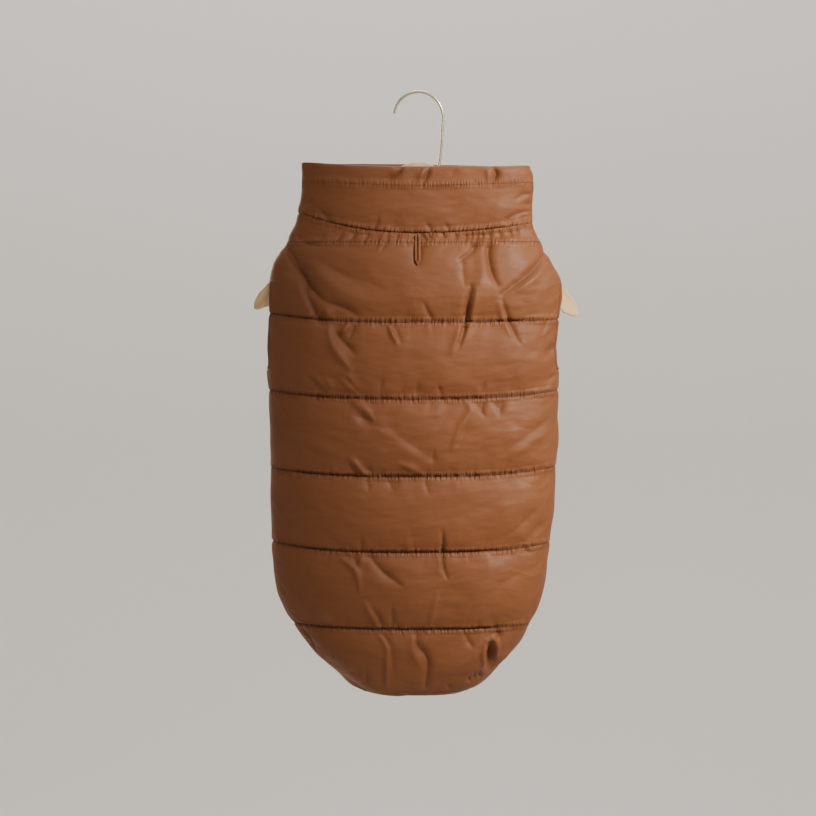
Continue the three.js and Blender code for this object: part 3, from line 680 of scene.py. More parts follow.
def shell(name, outer, inner, closed, cloth, by_seams):
    """A closed wall of cloth between a fine outer grid and a coarse inner one, with rounded edges.

    cloth holds each outer point's place on the flat cloth, and by_seams how gathered it is and how much painted
    shade it gets along its seams and in its folds' troughs.
    """
    rows, columns = outer.shape[:2]
    points = [outer.reshape(-1, 3)]
    flat = [cloth.reshape(-1, 2)]
    seam_values = [by_seams.reshape(2, -1).T]
    faces = grid_faces(rows, columns, closed).tolist()
    inner_start = rows * columns
    skip = (slice(None, None, COARSE), slice(None, None, COARSE))
    coarse_rows, coarse_columns = inner[skip].shape[:2]
    points.append(inner[skip].reshape(-1, 3))
    flat.append(cloth[skip].reshape(-1, 2))
    seam_values.append(np.zeros((coarse_rows * coarse_columns, 2)))
    inside = grid_faces(coarse_rows, coarse_columns, closed) + inner_start
    faces += inside[:, ::-1].tolist()
    start = inner_start + coarse_rows * coarse_columns
    if closed:
        down = np.gradient(outer, axis=0)
        back_round = np.roll(np.arange(columns)[::-1], 1)
        inner_round = np.roll(np.arange(coarse_columns)[::-1], 1)
        last = (rows - 1) * columns
        last_inner = inner_start + (coarse_rows - 1) * coarse_columns
        edges = [
            (back_round, inner_start + inner_round, -unit(down[0])[back_round]),
            (last + np.arange(columns), last_inner + np.arange(coarse_columns), unit(down[-1])),
        ]
    else:
        inner_border = inner_start + border(coarse_rows, coarse_columns)
        edges = [(border(rows, columns), inner_border, border_away(outer))]
    flat_inner = inner.reshape(-1, 3)
    for edge, inner_edge, leading in edges:
        loops = rim_loops(points[0][edge], flat_inner[edge], leading)
        before = edge
        for loop in loops:
            numbers = start + np.arange(len(loop))
            points.append(loop)
            flat.append(flat[0][edge])
            seam_values.append(seam_values[0][edge])
            faces += strip_faces(before, numbers)
            before = numbers
            start += len(loop)
        faces += [face[::-1] for face in fan_faces(before, inner_edge)]
    made = new_object(name, np.concatenate(points), faces)
    mesh = made.data
    shade_smooth(mesh)
    put_cloth_map(mesh, np.concatenate(flat) * MM, closed)
    # seam_shade carries the painted shade, seam_gather how gathered the cloth is
    for attribute, values in zip(("seam_gather", "seam_shade"), np.concatenate(seam_values).T):
        stored = mesh.attributes.new(attribute, "FLOAT", "POINT")
        stored.data.foreach_set("value", np.ascontiguousarray(values, np.float32))
    return made


def put_cloth_map(mesh, flat, closed):
    """Gives the mesh a UV map in metres of flat cloth, which runs on over a closed ring's last column."""
    corners = np.empty(len(mesh.loops), np.int32)
    mesh.loops.foreach_get("vertex_index", corners)
    values = flat[corners]
    if closed:
        length = flat[:, 0].max()
        starts = np.empty(len(mesh.polygons), np.int32)
        mesh.polygons.foreach_get("loop_start", starts)
        highest = np.maximum.reduceat(values[:, 0], starts)
        counts = np.diff(np.append(starts, len(corners)))
        over = np.repeat(highest, counts) - values[:, 0] > length / 2
        values[over, 0] += length
    layer = mesh.uv_layers.new(name="cloth")
    layer.data.foreach_set("uv", values.astype(np.float32).ravel())


def arc_lengths(grid, axis):
    """Each point's distance from the first one along its row or column, as the cloth runs."""
    steps = np.linalg.norm(np.diff(grid, axis=axis), axis=-1)
    total = np.cumsum(steps, axis=axis)
    return np.concatenate([np.zeros_like(total.take([0], axis=axis)), total], axis=axis)


def line_distance(grid, rows):
    """Each point's distance from the nearest of the given rows, along the cloth, and which row that is."""
    down = arc_lengths(grid, 0)
    gaps = np.stack([down - down[row] for row in rows])
    nearest = np.abs(gaps).argmin(axis=0)
    signed = np.take_along_axis(gaps, nearest[None], axis=0)[0]
    return signed, nearest


def groove(away, depth):
    """How deep the cloth is drawn in along each sewn line."""
    return depth * np.exp(-((away / GROOVE_WIDTH) ** 2))


def seam_puckers(around, signed, nearest, seed, height, size=1):
    """Uneven gathers that run off each side of a sewn line and fade out over a few millimetres."""
    total = np.zeros_like(around)
    below = (signed > 0).astype(int)
    away = np.abs(signed)
    for line in range(nearest.max() + 1):
        for side in (0, 1):
            own = (nearest == line) & (below == side)
            if not own.any():
                continue
            key = seed + 40 * line + 17 * side
            u, d = around[own], away[own]
            lean = (0.35 + 0.2 * size) * wave_noise(u / (34 * size), key + 5)
            place = u + lean * d
            phase = place / (3.4 * size) + 0.9 * wave_noise(place / (19 * size), key)
            ridge = wave_noise(phase, key + 9, octaves=2)
            strength = 0.55 + 0.6 * wave_noise(u / 27, key + 13)
            reach = size * (4.2 + 2.6 * wave_noise(u / 15, key + 21))
            fade = (d / (d + size)) * np.exp(-((d / reach) ** 1.5))
            total[own] += height * ridge * np.clip(strength, 0.12, 1.2) * fade
    return total


# Heights of the gathers at the seams, and the height and size of the cloth's own unevenness
FINE_GATHERS = 2.2
BROAD_GATHERS = 1.9
BROAD_GATHERS_SIZE = 2.8
BROAD_WAVES = 1.1
FINE_WAVES = 0.35


def dress(name, grid, inside, sewn, folds, closed, seed, pressure, swelling, depths, cap):
    """Turns a piece's padded starting shape into finished cloth: swollen, folded and gathered at its seams.

    swelling is the share of the simulated movement that each point keeps.
    """
    base = grid
    grid = inflate(name, grid, sewn, closed, pressure, cap)
    grid = base + (grid - base) * swelling[..., None]
    fine = double_grid(grid, closed)
    fine_inside = double_grid(inside, closed)
    sewn = [2 * row for row in sewn]
    down = arc_lengths(fine, 0)
    around = arc_lengths(fine, 1)
    around = around - around[:, [around.shape[1] // 2]] if not closed else around
    signed, nearest = line_distance(fine, sewn)
    away = np.abs(signed)
    normals = grid_normals(fine, closed)
    free = np.clip(away / 5, 0, 1) ** 0.7
    # creases holds the painted shade of the folds' troughs
    height, creases = fold_heights(folds, fine[..., 0], fine[..., 2])
    if closed:
        facing = np.clip(0.5 - 2 * normals[..., 1], 0, 1)
        behind, behind_crease_shade = fold_heights(COLLAR_BACK_FOLDS, fine[..., 0], fine[..., 2])
        height = height * facing + behind * (1 - facing)
        creases = creases * facing + behind_crease_shade * (1 - facing)
    height *= 0.4 + 0.6 * free
    depth = np.asarray(depths, float)[nearest]
    gather_share = np.minimum(1, 2 * depth)
    height += seam_puckers(around, signed, nearest, seed, FINE_GATHERS) * gather_share
    broad = seam_puckers(around, signed, nearest, seed + 7, BROAD_GATHERS, size=BROAD_GATHERS_SIZE)
    height += broad * gather_share**2
    height += BROAD_WAVES * field_noise(around / 33 + 11, down / 24 + 5, seed) * free
    height += FINE_WAVES * field_noise(around / 11 + 3, down / 12 + 9, seed + 1) * free
    height -= groove(away, depth)
    across = np.abs(np.linspace(-1, 1, fine.shape[1]))
    thin = 1 - 0.5 * across**4 if not closed else np.ones(fine.shape[1])
    # painted shade: darker along each sewn line's groove and in the folds' troughs, less towards a panel's sides
    shade = np.maximum(0.8 * creases, thin * depth * np.exp(-((away / SEAM_SHADE_WIDTH) ** 2)))
    gather = thin * np.minimum(1, 2.2 * depth) * np.clip(1 - away / 6, 0, 1)
    outer = fine + normals * height[..., None]
    return outer, fine_inside, np.stack([around, down], axis=-1), np.stack([gather, shade])


def panel_grids(levels, angle_rows, share):
    """The starting shape of a panel's outside, and its inside, from its levels and each row's angles."""
    level = np.broadcast_to(levels[:, None], angle_rows.shape)
    inside = inside_points(level, angle_rows)
    out = outward(level, angle_rows)
    return inside + out * (WALL + share * padding(level, angle_rows))[..., None], inside


def drawn_back(angles, edges, centre, bend):
    """Each row's angles, whose outer part is drawn back from an armhole to that row's own edge."""
    half = np.abs(angles - centre).max()
    away = np.abs(angles - centre)[None, :]
    outer = bend + (away - bend) * (edges[:, None] - bend) / (half - bend)
    return centre + np.sign(angles - centre)[None, :] * np.where(away > bend, outer, away)


def sewn_rows(counts):
    """The rows of a grid that are sewn down, from the number of steps in each stretch between them."""
    return np.concatenate([[0], np.cumsum(counts)]).tolist()


# Steps between the sewn lines from the top down, columns round, and how deep each sewn line lies
BACK_STEPS = [8, 28, 28, 28, 28, 28, 26]
BACK_COLUMNS = 124
BACK_DEPTHS = [0.4, 0.3, 1, 1, 1, 1, 1, 0.5]
BACK_BEND = 60  # degrees from the middle where the armhole starts to draw the columns back
BELLY_STEPS = [6, 24, 24, 24, 26]
BELLY_COLUMNS = 92
BELLY_DEPTHS = [0.4, 0.3, 1, 1, 1, 0.5]
BELLY_BEND = 40
COLLAR_STEPS = [8, 18]
COLLAR_COLUMNS = 208
COLLAR_DEPTHS = [0, 0.22, 0.8]
COLLAR_FARTHEST = 3
COLLAR_OVERRUN = 0.012  # of a level, so that the collar's edge closes on the panels
START_PADDING = 0.9  # share of the padding that stands before the simulation


def padded_piece(name, levels, steps, rows, swelling, folds, closed, seed, pressure, depths, cap=FARTHEST):
    """A finished piece of padded cloth, its outer surface, and the rows where it is sewn."""
    grid, inside = panel_grids(levels, rows, START_PADDING)
    outer, inner, cloth, by_seams = dress(
        name, grid, inside, sewn_rows(steps), folds, closed, seed, pressure, swelling, depths, cap
    )
    made = shell(name, outer, inner, closed, cloth, by_seams)
    return made, outer, sewn_rows([2 * count for count in steps])


def less_at_sides(rows):
    """The share of the simulated swelling that a panel keeps: less at its sides."""
    return 0.35 + 0.65 * side_share(rows)


def make_back_panel():
    levels = even_levels(NECK_SEAM, BACK_STEPS)
    angles = even_angles(-SIDE_SEAM, SIDE_SEAM, BACK_COLUMNS)
    rows = drawn_back(angles, back_edge(levels), 0, BACK_BEND)
    return padded_piece(
        "back_quilted", levels, BACK_STEPS, rows, less_at_sides(rows), BACK_FOLDS, False, 100, 5, BACK_DEPTHS
    )


def make_belly_panel():
    levels = even_levels(NECK_SEAM, BELLY_STEPS)
    angles = even_angles(SIDE_SEAM, 360 - SIDE_SEAM, BELLY_COLUMNS)
    rows = drawn_back(angles, 180 - belly_edge(levels), 180, BELLY_BEND)
    return padded_piece(
        "belly_quilted", levels, BELLY_STEPS, rows, less_at_sides(rows), BELLY_FOLDS, False, 500, 5,
        BELLY_DEPTHS
    )


def make_collar():
    levels = even_levels(0, COLLAR_STEPS)
    levels[-1] += COLLAR_OVERRUN
    angles = even_angles(-180, 180, COLLAR_COLUMNS)[:-1]
    rows = np.broadcast_to(angles, (len(levels), len(angles)))
    return padded_piece(
        "collar_padded", levels, COLLAR_STEPS, rows, np.full(rows.shape, 0.8), COLLAR_FOLDS, True, 800, 2,
        COLLAR_DEPTHS, COLLAR_FARTHEST
    )


back_panel, back_surface, back_lines = make_back_panel()
belly_panel, belly_surface, belly_lines = make_belly_panel()
collar, collar_surface, collar_lines = make_collar()


# Stitching, with sizes in millimetres
Stitch = namedtuple("Stitch", "pitch length radius")
QUILT_STITCH = Stitch(2.6, 1.7, 0.26)
CASING_STITCH = Stitch(2.6, 1.4, 0.24)
HEM_STITCH = Stitch(2.8, 1.8, 0.24)
PROUD = 0.15  # how far a seam's path stands off the cloth
ARCH = 1.6  # a stitch's rise, in radii of its thread


def stitch_tree(thread):
    """Small arched stitches along the edges of a mesh, each standing on the cloth that it goes through."""
    tree = bpy.data.node_groups.new("stitches along a seam", "GeometryNodeTree")
    for way in ("INPUT", "OUTPUT"):
        tree.interface.new_socket("Geometry", in_out=way, socket_type="NodeSocketGeometry")
    for name, value in (("Pitch", 0.0028), ("Stitch length", 0.0022), ("Thread radius", 0.0003)):
        socket = tree.interface.new_socket(name, in_out="INPUT", socket_type="NodeSocketFloat")
        socket.default_value = value
    node, link = tree.nodes.new, tree.links.new
    start, end = node("NodeGroupInput"), node("NodeGroupOutput")

    seam = node("GeometryNodeMeshToCurve")
    spaced = node("GeometryNodeResampleCurve")
    spaced.mode = "LENGTH"
    link(start.outputs["Geometry"], seam.inputs["Mesh"])
    link(seam.outputs["Curve"], spaced.inputs["Curve"])
    link(start.outputs["Pitch"], spaced.inputs["Length"])

    def times(value, factor):
        product = node("ShaderNodeMath")
        product.operation = "MULTIPLY"
        product.inputs[1].default_value = factor
        link(value, product.inputs[0])
        return product.outputs[0]

    half = times(start.outputs["Stitch length"], 0.5)
    first, top, last = (node("ShaderNodeCombineXYZ") for _ in range(3))
    link(times(half, -1), first.inputs["X"])
    link(times(start.outputs["Thread radius"], ARCH), top.inputs["Z"])
    link(half, last.inputs["X"])
    arch = node("GeometryNodeCurveQuadraticBezier")
    arch.inputs["Resolution"].default_value = 4
    for place, end_point in ((first, "Start"), (top, "Middle"), (last, "End")):
        link(place.outputs[0], arch.inputs[end_point])
    section = node("GeometryNodeCurvePrimitiveCircle")
    section.inputs["Resolution"].default_value = 5
    link(start.outputs["Thread radius"], section.inputs["Radius"])
    stitch = node("GeometryNodeCurveToMesh")
    stitch.inputs["Fill Caps"].default_value = True
    link(arch.outputs["Curve"], stitch.inputs["Curve"])
    link(section.outputs["Curve"], stitch.inputs["Profile Curve"])

    off_cloth = node("GeometryNodeInputNamedAttribute")
    off_cloth.data_type = "FLOAT_VECTOR"
    off_cloth.inputs["Name"].default_value = "off_cloth"
    along = node("GeometryNodeInputTangent")
    stand = node("FunctionNodeAlignRotationToVector")
    stand.axis = "Z"
    link(off_cloth.outputs["Attribute"], stand.inputs["Vector"])
    turn = node("FunctionNodeAlignRotationToVector")
    turn.axis = "X"
    turn.pivot_axis = "Z"
    link(stand.outputs["Rotation"], turn.inputs["Rotation"])
    link(along.outputs["Tangent"], turn.inputs["Vector"])
    placed = node("GeometryNodeInstanceOnPoints")
    link(spaced.outputs["Curve"], placed.inputs["Points"])
    link(stitch.outputs["Mesh"], placed.inputs["Instance"])
    link(turn.outputs["Rotation"], placed.inputs["Rotation"])
    made = node("GeometryNodeRealizeInstances")
    coloured = node("GeometryNodeSetMaterial")
    coloured.inputs["Material"].default_value = thread
    link(placed.outputs["Instances"], made.inputs["Geometry"])
    link(made.outputs["Geometry"], coloured.inputs["Geometry"])
    link(coloured.outputs["Geometry"], end.inputs["Geometry"])
    return tree


def set_inputs(modifier, **values):
    """Sets a geometry modifier's inputs through their sockets' identifiers."""
    for item in modifier.node_group.interface.items_tree:
        if item.in_out == "INPUT" and item.name in values:
            modifier[item.identifier] = values[item.name]


def seam_lines(name, seams):
    """One mesh of the paths of these seams, with the direction off the cloth at each point."""
    points, edges, normals = [], [], []
    for path, off, closed in seams:
        start = len(points)
        points += (np.asarray(path) * MM).tolist()
        normals += np.asarray(off).tolist()
        count = len(path)
        edges += [(start + k, start + k + 1) for k in range(count - 1)]
        if closed:
            edges.append((start + count - 1, start))
    mesh = bpy.data.meshes.new(name)
    mesh.from_pydata(points, edges, [])
    direction = mesh.attributes.new("off_cloth", "FLOAT_VECTOR", "POINT")
    direction.data.foreach_set("vector", np.asarray(normals, np.float32).ravel())
    return place_in_scene(name, mesh)


def sew(name, seams, tree, thread, stitch):
    """One mesh of all the stitches of these seams."""
    lines = seam_lines(name, seams)
    modifier = lines.modifiers.new("Stitches", "NODES")
    modifier.node_group = tree
    sizes = {"Pitch": stitch.pitch, "Stitch length": stitch.length, "Thread radius": stitch.radius}
    set_inputs(modifier, **{key: size * MM for key, size in sizes.items()})
    evaluated = lines.evaluated_get(bpy.context.evaluated_depsgraph_get())
    made = bpy.data.meshes.new_from_object(evaluated)
    lines.modifiers.remove(modifier)
    lines.data = made
    made.materials.clear()
    made.materials.append(thread)
    shade_smooth(made)
    return lines


def along_row(surface, row, closed, trim=2):
    """A seam's path on a row of points, just proud of the cloth, and the directions off the cloth."""
    normals = grid_normals(surface, closed)
    keep = slice(None) if closed else slice(trim, -trim)
    return surface[row, keep] + normals[row, keep] * PROUD, normals[row, keep], closed


def along_column(surface, column, rows):
    """A seam's path down a column of points, between two rows."""
    normals = grid_normals(surface, False)
    return surface[rows, column] + normals[rows, column] * PROUD, normals[rows, column], False


def hem_seams(surface, lines, hem_line, rows_up=4, columns_in=3):
    """Stitching a few millimetres inside a panel's armholes, lower side edges and lower edge."""
    seams = [along_row(surface, lines[-1] - rows_up, False, trim=columns_in)]
    edges_z = surface[:, columns_in, 2]
    armhole = np.flatnonzero((edges_z < ARMHOLE_TOP) & (edges_z > ARMHOLE_BOTTOM))
    for column in (columns_in, surface.shape[1] - 1 - columns_in):
        seams.append(along_column(surface, column, slice(armhole[0], armhole[-1])))
        if hem_line is not None:
            seams.append(along_column(surface, column, slice(lines[hem_line], lines[-1] - rows_up)))
    return seams


# Hanger
def smooth_outline(points):
    """A closed outline with four times as many points, on a smooth curve through the old ones."""
    points = np.array(points, float)
    wrapped = np.concatenate([points[-3:], points, points[:3]])
    return double_rows(double_rows(wrapped))[12:-11]


def on_plate(x, z):
    """A place on the tilted plate, from the top of its crown."""
    turn, lift = math.cos(PLATE_TILT), math.sin(PLATE_TILT)
    return (PLATE_TOP[0] + x * turn + z * lift, PLATE_TOP[1] - x * lift + z * turn)


def plate_outline():
    """The hanger's outline in order round it, with a rounded crown and tips."""
    crown_end = math.asin(PLATE_UPPER[0][0] / CROWN_RADIUS)
    turns = np.linspace(-crown_end, crown_end, 17)[1:-1]
    crown = [(CROWN_RADIUS * math.sin(a), CROWN_RADIUS * (math.cos(a) - 1)) for a in turns]
    tip = smooth_outline(PLATE_UPPER[1:] + PLATE_LOWER[:4])
    side = PLATE_UPPER[:1] + tip[: 4 * 8 + 1].tolist() + PLATE_LOWER[4:]
    other = [(-x, z) for x, z in side[-2::-1]]
    return [on_plate(x, z) for x, z in crown + side + other]


def make_plate():
    shape = bmesh.new()
    front = [shape.verts.new((x * MM, -PLATE_THICKNESS / 2 * MM, z * MM)) for x, z in plate_outline()]
    face = shape.faces.new(front)
    extruded = bmesh.ops.extrude_face_region(shape, geom=[face])
    moved = [item for item in extruded["geom"] if isinstance(item, bmesh.types.BMVert)]
    bmesh.ops.translate(shape, verts=moved, vec=(0, PLATE_THICKNESS * MM, 0))
    bmesh.ops.recalc_face_normals(shape, faces=shape.faces)
    mesh = bpy.data.meshes.new("hanger_plate_wood")
    shape.to_mesh(mesh)
    shape.free()
    plate = place_in_scene("hanger_plate_wood", mesh)
    rounding = plate.modifiers.new("Bevel", "BEVEL")
    rounding.width = PLATE_ROUNDING * MM
    rounding.segments = 4
    rounding.limit_method = "ANGLE"
    rounding.angle_limit = math.radians(60)
    rounding.harden_normals = True
    shade_smooth(mesh)
    return plate


def hook_path():
    """The wire's centre line, from its tip over the bend and down into the wood."""
    centre = -(WIRE_BEND - WIRE_DIAMETER / 2)
    bend = [(WIRE_BEND * math.cos(a), centre + WIRE_BEND * math.sin(a)) for a in np.linspace(WIRE_TIP, 0, 40)]
    lean = np.array([WIRE_BEND - 1.3, centre + 0.55 * (WIRE_ENTRY[1] - centre)])
    entry = np.array(WIRE_ENTRY)
    in_wood = unit(entry - lean)
    shank = double_rows(double_rows(np.array([bend[-1], lean, entry, entry + in_wood * WIRE_IN_WOOD])))
    path = bend + shank[1:].tolist()
    return np.array([(x, 0, z) for x, z in path])


def make_hook():
    """A round wire with a rounded tip."""
    path = hook_path()
    along = unit(np.gradient(path, axis=0))
    radius = WIRE_DIAMETER / 2
    tip = np.array([math.sin(a) for a in np.linspace(0.12, math.pi / 2, 6)])
    tip_rings = [path[0] - along[0] * radius * (1 - back) for back in 1 - np.sqrt(1 - tip**2)]
    rings = np.concatenate([tip_rings, path[1:]])
    along = np.concatenate([np.tile(along[0], (len(tip), 1)), along[1:]])
    across = np.tile([0.0, 1.0, 0.0], (len(rings), 1))
    out = np.cross(across, along)
    sizes = np.concatenate([tip, np.ones(len(path) - 1)])
    turns = 2 * np.pi * np.arange(WIRE_SIDES) / WIRE_SIDES
    ring = across[:, None] * np.cos(turns)[None, :, None] + out[:, None] * np.sin(turns)[None, :, None]
    grid = rings[:, None] + ring * (radius * sizes)[:, None, None]
    faces = grid_faces(len(rings), WIRE_SIDES, True).tolist()
    end_ring = np.arange((len(rings) - 1) * WIRE_SIDES, len(rings) * WIRE_SIDES)
    faces += [list(range(WIRE_SIDES)), end_ring[::-1].tolist()]
    hook = new_object("hanger_hook_wire", grid.reshape(-1, 3), faces)
    shape = bmesh.new()
    shape.from_mesh(hook.data)
    bmesh.ops.recalc_face_normals(shape, faces=shape.faces)
    shape.to_mesh(hook.data)
    shape.free()
    shade_smooth(hook.data)
    return hook


# Finishes
def linear(red, green, blue):
    """A colour for a shader from the 0 to 255 values that a picture of it shows."""
    values = (np.array([red, green, blue]) / 255 + 0.055) / 1.055
    return (*np.power(values, 2.4), 1)


class Nodes:
    """Adds nodes to a shader tree, with links and values given by socket."""

    def __init__(self, tree):
        self.tree = tree

    def add(self, kind, settings=None, **inputs):
        made = self.tree.nodes.new(kind)
        for name, value in (settings or {}).items():
            setattr(made, name, value)
        for name, value in inputs.items():
            self.feed(made, name, value)
        return made

    def feed(self, node, name, value):
        by_number = name[0] == "i" and name[1:].isdigit()
        socket = node.inputs[int(name[1:]) if by_number else name.replace("_", " ")]
        if isinstance(value, bpy.types.NodeSocket):
            self.tree.links.new(value, socket)
        else:
            socket.default_value = value

    def math(self, operation, a, b=0.0):
        return self.add("ShaderNodeMath", {"operation": operation}, i0=a, i1=b).outputs[0]

    def stretched(self, vector, scale, turn=(0, 0, 0)):
        return self.add("ShaderNodeMapping", Vector=vector, Scale=scale, Rotation=turn).outputs[0]

    def noise(self, vector, scale, detail=2.0, roughness=0.5):
        settings = {"Vector": vector, "Scale": scale, "Detail": detail, "Roughness": roughness}
        return self.add("ShaderNodeTexNoise", **settings).outputs[0]

    def ramp(self, value, low, high, from_value, to_value):
        node = self.add("ShaderNodeMapRange", {"interpolation_type": "SMOOTHSTEP"}, Value=value)
        limits = {"From Min": low, "From Max": high, "To Min": from_value, "To Max": to_value}
        for name, number in limits.items():
            node.inputs[name].default_value = number
        return node.outputs[0]

    def mix(self, share, a, b, blend="MIX"):
        node = self.add("ShaderNodeMix", {"data_type": "RGBA", "blend_type": blend})
        for name, value in (("i0", share), ("i6", a), ("i7", b)):
            self.feed(node, name, value)
        return node.outputs[2]

    def drift(self, group, place, colour, scale, amount):
        settings = {"Vector": place, "Color": colour, "Scale": scale, "Amount": amount}
        return self.add("ShaderNodeGroup", {"node_tree": group}, **settings).outputs[0]

    def bump(self, height, distance, strength=1.0, normal=None):
        node = self.add("ShaderNodeBump", Height=height, Distance=distance, Strength=strength)
        if normal:
            self.tree.links.new(normal, node.inputs["Normal"])
        return node.outputs[0]


def new_finish(name, colour, roughness, **constants):
    """A material of one colour, with its nodes and its shader for what is added to it."""
    material = bpy.data.materials.new(name)
    material.use_nodes = True
    shader = material.node_tree.nodes["Principled BSDF"]
    shader.inputs["Base Color"].default_value = colour
    shader.inputs["Roughness"].default_value = roughness
    for key, value in constants.items():
        shader.inputs[key.replace("_", " ")].default_value = value
    return material, Nodes(material.node_tree), shader


def drift_group():
    """Shade that drifts over a surface: a colour made a little lighter and darker in broad soft patches."""
    tree = bpy.data.node_groups.new("shade drift", "ShaderNodeTree")
    for name, kind, value in (
        ("Vector", "NodeSocketVector", None),
        ("Color", "NodeSocketColor", None),
        ("Scale", "NodeSocketFloat", 9.0),
        ("Amount", "NodeSocketFloat", 0.1),
    ):
        socket = tree.interface.new_socket(name, in_out="INPUT", socket_type=kind)
        if value is not None:
            socket.default_value = value
    tree.interface.new_socket("Color", in_out="OUTPUT", socket_type="NodeSocketColor")
    nodes = Nodes(tree)
    start, end = tree.nodes.new("NodeGroupInput"), tree.nodes.new("NodeGroupOutput")
    patches = nodes.noise(start.outputs["Vector"], start.outputs["Scale"], 4.0, 0.6)
    centred = nodes.math("SUBTRACT", patches, 0.5)
    change = nodes.math("MULTIPLY", centred, start.outputs["Amount"])
    shade = nodes.math("ADD", nodes.math("MULTIPLY", change, 4.0), 1.0)
    scaled = nodes.add("ShaderNodeVectorMath", {"operation": "SCALE"}, i0=start.outputs["Color"], Scale=shade)
    tree.links.new(scaled.outputs[0], end.inputs["Color"])
    return tree


def weave_group():
    """The height of a plain weave on flat cloth, from 0 to 1, where Threads counts those in a metre."""
    tree = bpy.data.node_groups.new("plain weave", "ShaderNodeTree")
    tree.interface.new_socket("Vector", in_out="INPUT", socket_type="NodeSocketVector")
    tree.interface.new_socket("Threads", in_out="INPUT", socket_type="NodeSocketFloat").default_value = 2000
    tree.interface.new_socket("Height", in_out="OUTPUT", socket_type="NodeSocketFloat")
    nodes = Nodes(tree)
    start, end = tree.nodes.new("NodeGroupInput"), tree.nodes.new("NodeGroupOutput")
    place = nodes.add("ShaderNodeVectorMath", {"operation": "SCALE"}, i0=start.outputs["Vector"])
    tree.links.new(nodes.math("MULTIPLY", start.outputs["Threads"], math.pi), place.inputs["Scale"])
    parts = nodes.add("ShaderNodeSeparateXYZ", i0=place.outputs[0])
    warp, weft = (nodes.math("SINE", parts.outputs[axis]) for axis in (0, 1))
    crossing = nodes.math("MULTIPLY", warp, weft)
    height = nodes.math("ADD", nodes.math("MULTIPLY", crossing, 0.5), 0.5)
    tree.links.new(height, end.inputs["Height"])
    return tree


def make_cloth_finish(drift, weave):
    brown = linear(122, 74, 44)
    material, nodes, shader = new_finish(
        "brown_nylon", brown, 0.6, Sheen_Weight=0.05, Sheen_Roughness=0.4, Sheen_Tint=(1, 0.7, 0.5, 1),
        Specular_IOR_Level=0.26
    )
    place = nodes.add("ShaderNodeTexCoord").outputs["Object"]
    flat = nodes.add("ShaderNodeUVMap", {"uv_map": "cloth"}).outputs[0]
    gathered_share = nodes.add("ShaderNodeAttribute", {"attribute_name": "seam_gather"}).outputs["Fac"]
    shade = nodes.add("ShaderNodeAttribute", {"attribute_name": "seam_shade"}).outputs["Fac"]

    broad = nodes.drift(drift, place, brown, 7.0, 0.07)
    streaks = nodes.noise(nodes.stretched(flat, (60, 900, 1)), 1.0, 2.0)
    streaked = nodes.mix(nodes.math("MULTIPLY", streaks, 0.3), broad, linear(100, 56, 31))
    gathers = nodes.noise(nodes.stretched(flat, (390, 45, 1)), 1.0, 1.0, 0.5)
    # painted shade: the low parts of the gathers by the seams are made darker in the colour
    low_gathers = nodes.ramp(gathers, 0.34, 0.56, 1.0, 0.0)
    valleys = nodes.math("MULTIPLY", low_gathers, nodes.math("POWER", gathered_share, 3.0))
    painted_valley_shade = nodes.ramp(valleys, 0.0, 1.0, 1.0, 0.58)
    # painted shade: the colour is also darkened along the seams' grooves and in the folds' troughs, from
    # seam_shade
    crease = nodes.math("MULTIPLY", nodes.ramp(shade, 0.0, 1.0, 1.0, 0.45), painted_valley_shade)
    painted_shade_colour = nodes.add("ShaderNodeVectorMath", {"operation": "SCALE"}, i0=streaked, Scale=crease)
    nodes.feed(shader, "Base Color", painted_shade_colour.outputs[0])

    worn = nodes.noise(place, 34, 3.0, 0.6)
    nodes.feed(shader, "Roughness", nodes.ramp(worn, 0.3, 0.7, 0.5, 0.62))

    gathered = nodes.bump(nodes.math("MULTIPLY", gathers, gathered_share), 0.0042, 1.0)
    crinkles = nodes.noise(nodes.stretched(flat, (34, 90, 1), (0, 0, 0.6)), 1.0, 1.5, 0.45)
    crinkle = nodes.bump(crinkles, 0.0028, 0.6, gathered)
    woven = nodes.add("ShaderNodeGroup", {"node_tree": weave}, Vector=flat, Threads=1800.0)
    nodes.feed(shader, "Normal", nodes.bump(woven.outputs[0], 0.00006, 0.6, crinkle))
    return material


def make_thread_finish(name, colour, drift):
    material, nodes, shader = new_finish(name, colour, 0.7, Specular_IOR_Level=0.2)
    place = nodes.add("ShaderNodeTexCoord").outputs["Object"]
    nodes.feed(shader, "Base Color", nodes.drift(drift, place, colour, 160.0, 0.16))
    twist = nodes.add(
        "ShaderNodeTexWave", {"wave_type": "BANDS", "bands_direction": "DIAGONAL"}, Vector=place,
        Scale=1300.0, Distortion=0.6
    )
    nodes.feed(shader, "Normal", nodes.bump(twist.outputs["Fac"], 0.0001, 0.7))
    return material


